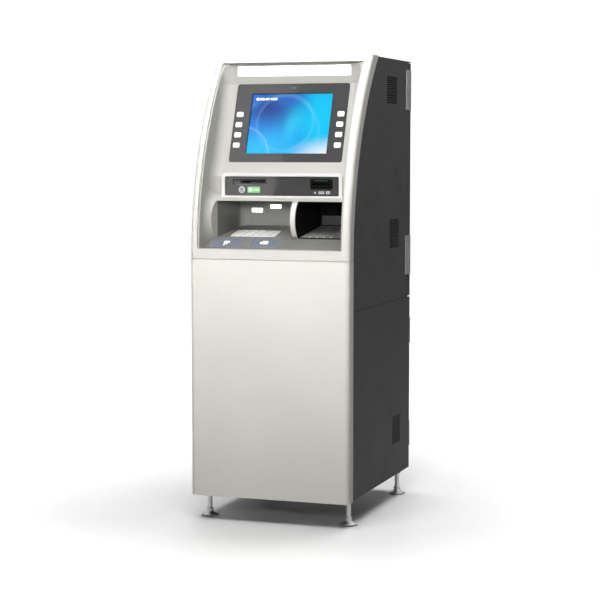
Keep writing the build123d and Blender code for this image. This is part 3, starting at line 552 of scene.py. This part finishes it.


# White print with a painted glow, brighter than the lamps alone make it.
white_ink_painted_glow = flat_color("white_ink_painted_glow", (0.8, 0.8, 0.79), glow=0.25)
grey_ink = flat_color("grey_ink", (0.5, 0.5, 0.5))
sensor_ink = flat_color("sensor_ink", (0.09, 0.09, 0.095), 0.3)
dark_ink = flat_color("dark_ink", (0.02, 0.02, 0.022))
picture_white = flat_color("picture_white", (0.8, 0.87, 1.0), 0.2, 0.5)
green_light = flat_color("green_light", (0.16, 0.42, 0.17), 0.3, 0.55)
dim_green = flat_color("dim_green", (0.01, 0.09, 0.03), 0.3, 0.25)
plate_blue = flat_color("plate_blue", (0.145, 0.165, 0.205), 0.5)
plate_rim = flat_color("plate_rim", (0.2, 0.22, 0.25), 0.5)
red_ink = flat_color("red_ink", (0.5, 0.02, 0.02))
yellow_ink = flat_color("yellow_ink", (0.65, 0.42, 0.02))
green_ink = flat_color("green_ink", (0.02, 0.28, 0.05))

picture_centre = (0, -0.0023)
picture_back, picture_face = -0.00625, -0.00595
menu_height = 0.092
prism("screen_picture", [rounded(0.308, 0.232, 0.001, centre=picture_centre)],
      picture_back, picture_face, screen_place, screen_picture(), "cabinet")
menu_marks = [circle(0.0055, 20, (-0.131, menu_height))]
for x, width in ((-0.114, 0.02), (-0.094, 0.014), (-0.07, 0.026)):
    menu_marks.append(rounded(width, 0.0075, 0.003, centre=(x, menu_height)))
prism("screen_menu_marks", menu_marks, picture_face, -0.0059, screen_place, picture_white,
      "cabinet")
ring("screen_gasket", rounded(0.3035, 0.2275, 0.002, centre=picture_centre),
     rounded(0.3, 0.224, 0.001, centre=picture_centre), -0.0002, 0.0003, screen_place, dark_ink,
     "cabinet")
prism("sensor_window", [rounded(0.02, 0.006, 0.003, centre=(0.0, 0.1305))], 0.0, 0.0003,
      screen_place, sensor_ink, "cabinet", 0.0001)

# ---------------------------------------------------------------- strip panel

slot_at = (-0.1195, 1.185)
icon_at = (-0.149, 1.158)

throat_grey = moulded("throat_grey", (0.17, 0.17, 0.18), (0.16, 0.16, 0.17), 0.4)
loft("receipt_throat", [
    (-0.0046, rounded(0.1264, 0.0194, 0.002, centre=slot_at)),
    (-0.012, rounded(0.1264, 0.0194, 0.002, centre=slot_at)),
    (-0.024, rounded(0.1, 0.009, 0.002, centre=slot_at)),
    (-0.0315, rounded(0.09, 0.0048, 0.001, centre=slot_at)),
], strip_place, throat_grey, "cabinet")
prism("receipt_icon_disc", [circle(0.0122, 36, icon_at)], 0, 0.0004, strip_place, grey_ink,
      "cabinet", 0.0002)
prism("receipt_icon_mark", [rounded(0.0088, 0.0125, 0.0008, 3, icon_at)], 0.0004, 0.0006, strip_place,
      dark_ink, "cabinet")
prism("receipt_icon_lines", [
    rounded(w, 0.0011, 0.0004, 3, (icon_at[0], z))
    for w, z in ((0.006, 1.1615), (0.0045, 1.158), (0.006, 1.1545))
], 0.0006, 0.0007, strip_place, white_ink_painted_glow, "cabinet")
prism("receipt_light", [rounded(0.047, 0.021, 0.003, centre=(-0.104, icon_at[1]))], 0, 0.0005,
      strip_place, green_light, "cabinet", 0.0002)
prism("receipt_light_mark", [
    rounded(0.012, 0.0105, 0.0008, 3, (-0.116, 1.158)),
    rounded(0.014, 0.0025, 0.001, 3, (-0.0985, 1.158)),
    [(-0.0915, 1.1628), (-0.0915, 1.1532), (-0.0855, 1.158)][::-1],
], 0.0005, 0.0007, strip_place, white_ink_painted_glow, "cabinet")
prism("card_marks", [
    [(0.1175, 1.1465), (0.1275, 1.1465), (0.1225, 1.1535)],
    rounded(0.021, 0.0095, 0.0015, 3, (0.1455, 1.1497)),
    rounded(0.014, 0.0095, 0.0015, 3, (0.1695, 1.1497)),
], 0, 0.0003, strip_place, grey_ink, "cabinet")
prism("card_mark_stripes", [
    rounded(0.021, 0.0022, 0.0003, 3, (0.1455, 1.1515)),
    rounded(0.006, 0.0022, 0.0003, 3, (0.1695, 1.1497)),
], 0.0003, 0.0004, strip_place, dark_ink, "cabinet")
card_place = facing_front(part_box("card_reader")[0].y)
card_at = (0.1458, (strip_place @ Vector((0, 1.1784, 0))).z)
ring("card_funnel", rounded(0.07, 0.02, 0.004, centre=card_at), rounded(0.06, 0.006, 0.0006, centre=card_at),
     0.0, 0.0006, card_place, looks["black_plastic"], "cabinet")
prism("card_light", [rounded(0.05, 0.0018, 0.0009, centre=(card_at[0], card_at[1] + 0.0125))], 0, 0.0003,
      card_place, dim_green, "cabinet")

# ---------------------------------------------------------------- shelf, keypad and cash outlet


def on_shelf(x, behind):
    """A point of the shelf's own plane, from millimetres across and behind the front face."""
    return (x / 1000, (behind - shelf_foot[0]) / 1000 / math.cos(shelf_slope))


def shelf_plate(name, x0, x1, mark):
    """An instruction plate on the sloping front of the shelf."""
    centre = ((x0 + x1) / 2000, 0.0325)
    width, height = (x1 - x0) / 1000, 0.056
    rim = 0.005
    shapes = [[(centre[0] + x, centre[1] + y) for x, y in mm(shape)] for shape in mark]
    prism(name + "_rim", [rounded(width, height, 0.006, centre=centre)], 0, 0.0005, apron_place,
          plate_rim, "cabinet", 0.0002)
    prism(name, [rounded(width - rim, height - rim, 0.005, centre=centre)], 0.0005, 0.0008, apron_place,
          plate_blue, "cabinet", 0.0001)
    prism(name + "_mark", shapes, 0.0008, 0.001, apron_place, white_ink_painted_glow, "cabinet")


hand = [rounded(22, 13, 4, centre=(0, 3)), rounded(5, 18, 2.4, centre=(-6, -9)),
        rounded(5, 11, 2.4, centre=(2, -7))]
notes = [rounded(30, 14, 2, centre=(0, 0)), rounded(22, 4, 1.5, centre=(2, 11))]
shelf_plate("plate_left", -240, -126, hand)
shelf_plate("plate_right", -99, 11, notes)

pad_low, pad_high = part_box("keypad_housing")
pad_x = (pad_low.x + pad_high.x) / 2
pad_up = 0.054
key_pitch = (0.034, 0.017)
key_top = 0.006
key_rows = (("1", "2", "3", "cancel"), ("4", "5", "6", "clear"), ("7", "8", "9", "enter"),
            ("left_blank", "0", "right_blank", "lower_blank"))
for row, names in enumerate(key_rows):
    for column, name in enumerate(names):
        x, y = pad_x + key_pitch[0] * (column - 1.5), pad_up + key_pitch[1] * (1.5 - row)
        place = shelf_place @ Matrix.Translation((x, y, key_top))
        body = "key_" + name
        if name.isdigit():
            label("mark_" + name, name, 0.0088, place, dark_ink, body)
        elif name == "cancel":
            bars = [[(-4, -3), (-3, -4), (4, 3), (3, 4)], [(-4, 3), (-3, 4), (4, -3), (3, -4)][::-1]]
            prism("mark_cancel", [mm(bar) for bar in bars], 0, ink_depth, place, red_ink, body)
        elif name == "clear":
            arrow = [(3, 4), (-3.6, 0), (3, -4), (3, -2.4), (-0.6, 0), (3, 2.4)]
            prism("mark_clear", [mm(arrow)], 0, ink_depth, place, yellow_ink, body)
        elif name == "enter":
            ring("mark_enter", circle(0.0042, 24), circle(0.003, 24), 0, ink_depth, place, green_ink,
                 body)
        else:
            prism("mark_" + name, [rounded(0.008, 0.0012, 0.0006)], 0, ink_depth, place, dark_ink,
                  body)
        if name == "5":
            lathe("dot_5", [(0.0009, 0), (0.0008, 0.0003), (0.0004, 0.0005), (0, 0.00055)],
                  place @ Matrix.Translation((0, -0.005, 0)), looks["key_steel"], body, 16)

cash_x = 150
liner_front, liner_depth = 106, 160
left_mouth, left_closing = 72, 29
right_mouth, right_closing = 246, -47
tray_gap = 4.4
tray_front, tray_back = 108, 256
tray_underside, tray_top = 0.0026, 0.0042


def liner_side(mouth_x, closing, behind):
    """Where a side wall of the cash outlet's liner stands at a depth, in millimetres."""
    return mouth_x + closing * (behind - liner_front) / liner_depth


def tray_left(behind):
    return on_shelf(liner_side(left_mouth, left_closing, behind) + tray_gap, behind)


def tray_right(behind):
    return on_shelf(liner_side(right_mouth, right_closing, behind) - tray_gap, behind)


tray_outline = [tray_left(tray_front), tray_right(tray_front), tray_right(tray_back), tray_left(tray_back)]
tray_grey = moulded("tray_grey", (0.085, 0.085, 0.083), (0.1, 0.1, 0.098), 0.38)
prism("note_tray", [tray_outline], tray_underside, tray_top, shelf_place, tray_grey,
      "cabinet", 0.0006)
prism("note_tray_ribs", [
    rounded(0.0018, 0.1, 0.0009, centre=on_shelf(cash_x + dx, 190)) for dx in (-36, -24, -12, 0, 12, 24, 36)
], tray_top, 0.0052, shelf_place, tray_grey, "cabinet", 0.0005)
for number, dx in enumerate((-39, -13, 13, 39)):
    place = shelf_place @ Matrix.Translation((*on_shelf(cash_x + dx, 114), tray_top))
    lathe(f"tray_light_{number}", [(0.0042, 0), (0.004, 0.0008), (0.0028, 0.0014), (0, 0.0017)], place,
          flat_color(f"tray_lens_{number}", (0.55, 0.55, 0.53), 0.25, 0.2), "cabinet", 20)
shutter_low, shutter_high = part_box("cash_shutter")
shutter_mid = (shutter_low + shutter_high) / 2
shutter_thick = 0.0017
shutter_place = facing_front(shutter_high.y - shutter_thick, shutter_mid.x, shutter_mid.z)
prism("shutter_ribs", [rounded(0.07, 0.0016, 0.0008, centre=(0, z)) for z in (-0.004, 0.001, 0.006, 0.011)],
      0, 0.0007, shutter_place, looks["dark_plastic"], "cash_shutter", 0.0003)

rib_centre, rib_radius = arc_through(shelf_foot, cave_bulge, cave_lip)


def rib_depth(z):
    """Depth of the curved front of the caves at a height: an arc through its foot, bulge and lip."""
    return rib_centre[0] - math.sqrt(rib_radius ** 2 - (z - rib_centre[1]) ** 2)


rib_curve = [(rib_depth(z), z) for z in range(1112, 992, -8)]
rib_section = ((0, 0.0), (0.12, 1.0), (0.5, 1.6), (0.88, 1.0), (1, 0.0))  # share across, lift in mm
rib_sunk = 0.2
rib_left, rib_right = (53.2, 54.7), (70.6, 71.2)  # at the lip, at the foot
rib_verts, rib_faces = [], []
for i, (behind, z) in enumerate(rib_curve):
    share = i / (len(rib_curve) - 1)
    x0 = rib_left[0] + (rib_left[1] - rib_left[0]) * share
    x1 = rib_right[0] + (rib_right[1] - rib_right[0]) * share
    before = rib_curve[max(i - 1, 0)]
    after = rib_curve[min(i + 1, len(rib_curve) - 1)]
    run = Vector((after[0] - before[0], after[1] - before[1])).normalized()
    out = Vector((run.y, -run.x))
    for k, lift in rib_section:
        point = Vector((behind, z)) + out * (lift - rib_sunk)
        rib_verts.append(at(x0 + (x1 - x0) * k, point.x, point.y))
for i in range(len(rib_curve) - 1):
    for k in range(4):
        a = i * 5 + k
        rib_faces.append((a, a + 5, a + 6, a + 1))
add_mesh("rib_nosing", rib_verts, rib_faces, looks["cream_plastic"], "cabinet", True)

# ---------------------------------------------------------------- rear: screws, keyholes, dial, handles


def screw(name, place, radius, body):
    """A domed cross-head screw."""
    dome = ((1, 0), (1, 0.25), (0.8, 0.48), (0.45, 0.6), (0, 0.63))
    lathe(name, [(radius * r, radius * z) for r, z in dome], place, looks["zinc_steel"],
          body, 20)
    long, narrow, corner = radius * 1.1, radius * 0.26, radius * 0.05
    prism(name + "_recess", [rounded(long, narrow, corner, 2), rounded(narrow, long, corner, 2)],
          radius * 0.5, radius * 0.66, place, dark_ink, body)


screw_heights = (851, 904, 957, 1465, 1519, 1573)
screw_face, screw_behind, screw_radius = 288.1, 753, 0.0032
wing_spans = ((831, 977), (1445, 1593))
wing_behind, wing_width = 712, 0.0158
strap_face = 276
strap_bolts = ((715, 184), (737, 204), (715, 577), (737, 600))
for number, z in enumerate(screw_heights):
    screw(f"leaf_screw_{number}", facing_right(at(screw_face, screw_behind, z)), screw_radius,
          "service_door")
leaf_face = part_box("hinge_leaves_fixed")[1].x
side_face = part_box("lower_side_right")[1].x
for number, (low_z, high_z) in enumerate(wing_spans):
    place = facing_right(at(side_face * 1000, wing_behind, (low_z + high_z) / 2))
    prism(f"leaf_wing_{number}", [rounded(wing_width, (high_z - low_z) / 1000, 0.002)], 0,
          leaf_face - side_face, place, looks["hinge_grey"], "cabinet", 0.0003)
for number, (behind, z) in enumerate(strap_bolts):
    lathe(f"strap_bolt_{number}", [(0.006, 0), (0.006, 0.0035), (0.005, 0.0045), (0, 0.0048)],
          facing_right(at(strap_face, behind, z)), looks["zinc_steel"], "cabinet", 6)

lock_height = 1.184
lock_x = -0.25
latch_low, latch_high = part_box("service_latch")
latch_place = facing_back(latch_high.y, (latch_low.x + latch_high.x) / 2, lock_height)
lathe("latch_cylinder", [(0.0078, -0.0005), (0.0078, 0.0003), (0.0068, 0.0008), (0.0066, 0.0004),
                         (0, 0.0004)], latch_place, looks["chrome"], "service_latch", 28)
prism("latch_keyway", [rounded(0.0016, 0.0085, 0.0007)], 0.0004, 0.0006, latch_place, dark_ink,
      "service_latch")
lathe("latch_escutcheon", [(0.0225, 0), (0.0225, 0.0002), (0.021, 0.0004), (0.0165, 0.0004), (0.0163, 0.0)],
      facing_back(door_face, lock_x, lock_height), looks["chrome"], "service_door")
plate_at = (0.0, 1.5)
plate_thick = 0.0006
prism("rating_plate", [rounded(0.07, 0.04, 0.003, centre=plate_at)], 0, plate_thick, rear_place,
      looks["zinc_steel"], "service_door", 0.0002)
for number, (dx, dz) in enumerate(((-0.031, -0.016), (0.031, -0.016), (-0.031, 0.016), (0.031, 0.016))):
    place = rear_place @ Matrix.Translation((plate_at[0] + dx, plate_at[1] + dz, plate_thick))
    lathe(f"plate_rivet_{number}", [(0.0018, 0), (0.0015, 0.0006), (0, 0.0009)], place,
          looks["zinc_steel"], "service_door", 14)
prism("door_stiffeners", [rounded(0.46, 0.012, 0.005, centre=(0, z)) for z in (0.86, 1.36)], 0, 0.0012,
      rear_place, looks["dark_steel"], "service_door", 0.001)

dial_low, dial_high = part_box("combination_dial")
dial_x, dial_z = (dial_low.x + dial_high.x) / 2, (dial_low.z + dial_high.z) / 2
dial_place = facing_back(dial_high.y, dial_x, dial_z)
tick_count, ticks_per_number, tick_radius = 50, 5, 0.0312
ticks = []
for i in range(tick_count):
    long, half_width = (0.003, 0.0004) if i % ticks_per_number else (0.005, 0.0007)
    ticks.append(spoke((0, 0), 2 * math.pi * i / tick_count, tick_radius - long, tick_radius, half_width))
dial_face = -0.0108
print_height = dial_face + 0.0006
prism("dial_ticks", ticks, print_height, dial_face + 0.0009, dial_place, white_ink_painted_glow,
      "combination_dial")
number_radius = 0.0215
for i in range(10):
    a = math.pi / 2 - 2 * math.pi * i / 10
    move = Matrix.Translation((number_radius * math.cos(a), number_radius * math.sin(a), print_height))
    turn = Matrix.Rotation(a - math.pi / 2, 4, "Z")
    label(f"dial_number_{i * 10}", str(i * 10), 0.0052, dial_place @ (move @ turn), white_ink_painted_glow,
          "combination_dial")
knurls = 28
knurling = []
for i in range(knurls):
    a = 2 * math.pi * i / knurls
    corners = ((0.0179, a - 0.04), (0.0179, a + 0.04), (0.0168, a + 0.05), (0.0168, a - 0.05))
    knurling.append([(r * math.cos(b), r * math.sin(b)) for r, b in corners])
prism("dial_knurling", knurling, -0.0095, -0.0018, dial_place, looks["zinc_steel"],
      "combination_dial")

safe_face = 0.760
dial_at = (-dial_x, dial_z)
keyhole_x = -0.11
safe_place = facing_back(front + safe_face)
ring("dial_index", circle(0.0385, 48, dial_at), circle(0.0349, 48, dial_at), 0, 0.003, safe_place,
     looks["zinc_steel"], "safe_door")
pointer = [(dial_at[0] + x, dial_at[1] + z) for x, z in ((-0.0022, 0.0386), (0, 0.0352), (0.0022, 0.0386))]
prism("dial_pointer", [pointer], 0.003, 0.0033, safe_place, red_ink, "safe_door")
prism("safe_keyhole_cover", [rounded(0.026, 0.05, 0.013, centre=(keyhole_x, 0.5))], 0, 0.003, safe_place,
      looks["zinc_steel"], "safe_door", 0.001)
prism("safe_keyhole", [circle(0.003, 16, (keyhole_x, 0.507)),
                       rounded(0.0026, 0.012, 0.0008, 3, (keyhole_x, 0.501))],
      0.003, 0.0031, safe_place, dark_ink, "safe_door")
trim_centre = (0, 0.4325)
ring("safe_door_trim", rounded(0.5, 0.585, 0.012, centre=trim_centre),
     rounded(0.488, 0.573, 0.008, centre=trim_centre), 0, 0.0015, safe_place, looks["safe_paint"],
     "safe_door")
handle_low, handle_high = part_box("safe_handle")
handle_mid = (handle_low + handle_high) / 2
handle_place = facing_back(handle_high.y, handle_mid.x, handle_mid.z)
prism("handle_grips", [rounded(0.04, 0.0012, 0.0005, 2, (x, y))
                       for x in (-0.045, 0.045) for y in (-0.005, 0, 0.005)],
      -0.0004, 0.0003, handle_place, looks["black_plastic"], "safe_handle")

# ---------------------------------------------------------------- inside, seen with the doors open

back_place = facing_back(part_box("control_computer")[1].y)
fan_at = (0.195, 1.03)
guard_wire = 0.0016
for number, radius in enumerate((0.034, 0.027, 0.02, 0.013)):
    ring(f"fan_guard_{number}", circle(radius, 36, fan_at), circle(radius - guard_wire, 36, fan_at),
         0.0, 0.0015, back_place, looks["zinc_steel"], "cabinet")
diagonals = (0.785, 2.356, 3.927, 5.498)
prism("fan_guard_bars", [spoke(fan_at, a, 0.006, 0.042, guard_wire / 2) for a in diagonals],
      0.0015, 0.003, back_place, looks["zinc_steel"], "cabinet")
socket_face = 0.0015
sockets = [(0.1 + 0.022 * i, 0.93) for i in range(5)]
prism("computer_sockets", [rounded(0.016, 0.013, 0.001, 2, centre) for centre in sockets]
      + [rounded(0.06, 0.012, 0.002, 2, (0.12, 0.89))],
      0, socket_face, back_place, looks["zinc_steel"], "cabinet", 0.0004)
prism("computer_socket_holes", [rounded(0.012, 0.008, 0.0008, 2, centre) for centre in sockets],
      socket_face, 0.0017, back_place, dark_ink, "cabinet")
prism("computer_seams", [rounded(0.16, 0.0012, 0.0005, 2, (0.16, z)) for z in (0.8, 0.86, 0.97)],
      0, 0.0004, back_place, dark_ink, "cabinet")

case_low, case_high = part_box("note_cassettes")
case_place = facing_back(case_high.y)
case_pitch = 0.118
case_colors = ((0.03, 0.12, 0.32), (0.05, 0.28, 0.1), (0.5, 0.3, 0.03), (0.35, 0.05, 0.05))
mid_x = -(case_low.x + case_high.x) / 2
for number, color in enumerate(case_colors):
    floor_z = case_low.z + case_pitch * number
    band = rounded(0.18, 0.014, 0.003, centre=(mid_x, floor_z + 0.018))
    grip = rounded(0.1, 0.009, 0.004, centre=(mid_x, floor_z + 0.066))
    catches = [rounded(0.012, 0.03, 0.004, centre=(mid_x + dx, floor_z + 0.06)) for dx in (-0.083, 0.083)]
    prism(f"cassette_band_{number}", [band], 0, 0.0008, case_place,
          flat_color(f"cassette_band_{number}", color), "cabinet", 0.0003)
    prism(f"cassette_grip_{number}", [grip], -0.005, -0.0005, case_place,
          looks["black_plastic"], "cabinet", 0.0015)
    prism(f"cassette_catch_{number}", catches, 0, 0.003, case_place,
          looks["zinc_steel"], "cabinet", 0.001)


def cable(name, points, radius):
    """A short fixed cable through points given in millimetres."""
    curve = bpy.data.curves.new(name, "CURVE")
    curve.dimensions = "3D"
    curve.bevel_depth = radius
    curve.bevel_resolution = 3
    curve.resolution_u = 8
    spline = curve.splines.new("BEZIER")
    spline.bezier_points.add(len(points) - 1)
    for bezier, point in zip(spline.bezier_points, points):
        bezier.co = at(*point)
        bezier.handle_left_type = bezier.handle_right_type = "AUTO"
    curve.materials.append(looks["black_plastic"])
    thing = bpy.data.objects.new(name, curve)
    scene.collection.objects.link(thing)
    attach(thing, "cabinet")


cable("display_cable", ((-120, 430, 1094), (-120, 425, 1150), (-90, 380, 1260), (-60, 300, 1340),
                        (-60, 252, 1372)), 0.004)
cable("reader_cable", ((-150, 440, 1094), (-140, 435, 1130), (20, 400, 1175), (120, 340, 1182),
                       (146, 299, 1178)), 0.003)
cable("printer_cable", ((-180, 440, 1094), (-185, 435, 1115), (-160, 380, 1130), (-130, 323, 1131)), 0.003)

# ---------------------------------------------------------------- seam gaskets

seam_z = (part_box("lower_side_right")[1].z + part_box("upper_side_right")[0].z) / 2
seam_length, seam_height, seam_middle = 0.685, 0.0021, 0.3975
seam_outline = rounded(seam_length, seam_height, 0.0005, centre=(seam_middle, 0))
for side in ("left", "right"):
    low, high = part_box("lower_side_" + side)
    prism("seam_gasket_" + side, [seam_outline], -0.0004, 0.0004,
          facing_right(((low.x + high.x) / 2, front, seam_z)), looks["black_plastic"],
          "cabinet")

# ---------------------------------------------------------------- feet

rubber = moulded("foot_rubber", (0.02, 0.02, 0.021), (0.03, 0.03, 0.031), 0.7, grain=1200, depth=0.0001)
stem_radius, crest, root = 0.0081, 0.0003, -0.00005
thread_start, half_pitch = 0.031, 0.00125
thread = [(stem_radius + (crest if i % 2 else root), thread_start + half_pitch * i) for i in range(37)]
for foot in ("front_left", "rear_left", "front_right", "rear_right"):
    low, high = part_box("foot_" + foot)
    centre = (low + high) / 2
    place = frame_matrix((centre.x, centre.y, 0), (1, 0, 0), (0, 0, 1))
    lathe("foot_pad_" + foot, [(0.0296, 0.0), (0.0305, 0.0006), (0.0305, 0.0026), (0.0301, 0.0032)],
          place, rubber, "foot_" + foot, 48)
    lathe("foot_thread_" + foot, thread, place, looks["chrome"], "foot_" + foot, 28)

# ---------------------------------------------------------------- studio


def staged(name, corners, material):
    """One flat face of the studio, left out of the exported part."""
    mesh = bpy.data.meshes.new(name)
    mesh.from_pydata(corners, [], [(0, 1, 2, 3)])
    thing = bpy.data.objects.new(name, mesh)
    scene.collection.objects.link(thing)
    mesh.materials.append(material)
    thing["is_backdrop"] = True
    return thing


# The floor looks white to the camera, bounces little light and brightens away from the machine.
floor = Shader("floor_white", Roughness=0.32, Specular_IOR_Level=0.35, Emission_Color=(1, 1, 1))
paths = floor.node("LightPath")
seen_directly = paths.outputs["Is Camera Ray"]
bounce = floor.mix(paths.outputs["Is Glossy Ray"], (0.1, 0.1, 0.1), (0.42, 0.42, 0.42))
floor.put("Base_Color", floor.mix(seen_directly, bounce, (0.87, 0.87, 0.87)))
floor_x, floor_y, _ = floor.axes()
away = floor.length(floor_x, floor_y)
floor_glow = floor.math("ADD", floor.span(away, 0.5, 1.7, 0.0, 0.35), floor.span(away, 1.7, 6.0, 0.0, 0.4))
floor.put("Emission_Strength", floor.product(seen_directly, floor_glow))
reach = 60
staged("floor", [(-reach, -reach, 0), (reach, -reach, 0), (reach, reach, 0), (-reach, reach, 0)],
       floor.material)

# The world is white to the camera, dimmer in reflections and dim as light.
world = bpy.data.worlds.new("studio")
scene.world = world
world.use_nodes = True
sky = world.node_tree
ground = sky.nodes["Background"]
seen = sky.nodes.new("ShaderNodeBackground")
ground.inputs["Color"].default_value = (1, 1, 1, 1)
seen.inputs["Color"].default_value = (1, 1, 1, 1)
seen.inputs["Strength"].default_value = 1.05
choose = sky.nodes.new("ShaderNodeMixShader")
rays = sky.nodes.new("ShaderNodeLightPath")
mirrored = sky.nodes.new("ShaderNodeMapRange")
mirrored.inputs["To Min"].default_value = 0.07
mirrored.inputs["To Max"].default_value = 0.4
sky.links.new(rays.outputs["Is Glossy Ray"], mirrored.inputs["Value"])
sky.links.new(mirrored.outputs["Result"], ground.inputs["Strength"])
sky.links.new(rays.outputs["Is Camera Ray"], choose.inputs[0])
sky.links.new(ground.outputs[0], choose.inputs[1])
sky.links.new(seen.outputs[0], choose.inputs[2])
sky.links.new(choose.outputs[0], sky.nodes["World Output"].inputs["Surface"])


def softbox(name, location, target, width, height, power):
    """A rectangular light aimed at a point."""
    light = bpy.data.lights.new(name, "AREA")
    light.shape = "RECTANGLE"
    light.size = width
    light.size_y = height
    light.energy = power
    thing = bpy.data.objects.new(name, light)
    scene.collection.objects.link(thing)
    thing.location = location
    thing.rotation_euler = (Vector(target) - Vector(location)).to_track_quat("-Z", "Y").to_euler()
    return thing


key = softbox("key", (0.2, -1.95, 3.7), (0, -0.35, 1.1), 2.0, 1.3, 100)
key.visible_glossy = False
softbox("fill", (1.2, -5.6, 2.2), (0, 0, 1.0), 2.4, 1.6, 9)
front_light = softbox("front", (0.6, -4.2, 1.9), (0, -0.3, 1.27), 1.6, 1.2, 8.2)
front_light.data.spread = math.radians(40)
front_light.visible_glossy = False
softbox("top", (0.1, 1.7, 4.6), (0, 0.5, 0), 4.0, 2.6, 190)

# Cards that show only in reflections, in the gloss panels.
reflector_glow = lit("reflector_glow", (1.0, 1.0, 1.0), 0.85)
reflectors = (
    ((-1.202, -2.052, 2.681), (-1.151, -1.767, 3.046), (-0.803, -1.868, 3.129), (-0.901, -2.14, 2.753)),
    ((-1.173, -2.524, 1.037), (-1.16, -2.532, 1.199), (-0.878, -2.64, 1.199), (-0.916, -2.622, 1.037)),
)
for number, corners in enumerate(reflectors):
    card = staged(f"reflector_{number}", corners, reflector_glow)
    card.visible_camera = card.visible_diffuse = card.visible_shadow = False

sun = bpy.data.lights.new("overhead", "SUN")
sun.energy = 0.38
sun.angle = math.radians(75)
overhead = bpy.data.objects.new("overhead", sun)
scene.collection.objects.link(overhead)
overhead.rotation_euler = (math.radians(6), 0, 0)

# The photo's camera: from the front right, looking slightly down, through a long lens.
camera = bpy.data.cameras.new("camera")
camera.lens = 105.14
camera.sensor_width = 36
camera.clip_end = 100
eye = bpy.data.objects.new("camera", camera)
scene.collection.objects.link(eye)
yaw, pitch = math.radians(19.32), math.radians(4.87)
eye.location = (2.083, front - 5.612, 1.294)
forward = Vector((-math.sin(yaw) * math.cos(pitch), math.cos(yaw) * math.cos(pitch), -math.sin(pitch)))
eye.rotation_euler = forward.to_track_quat("-Z", "Y").to_euler()
scene.camera = eye

low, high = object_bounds()
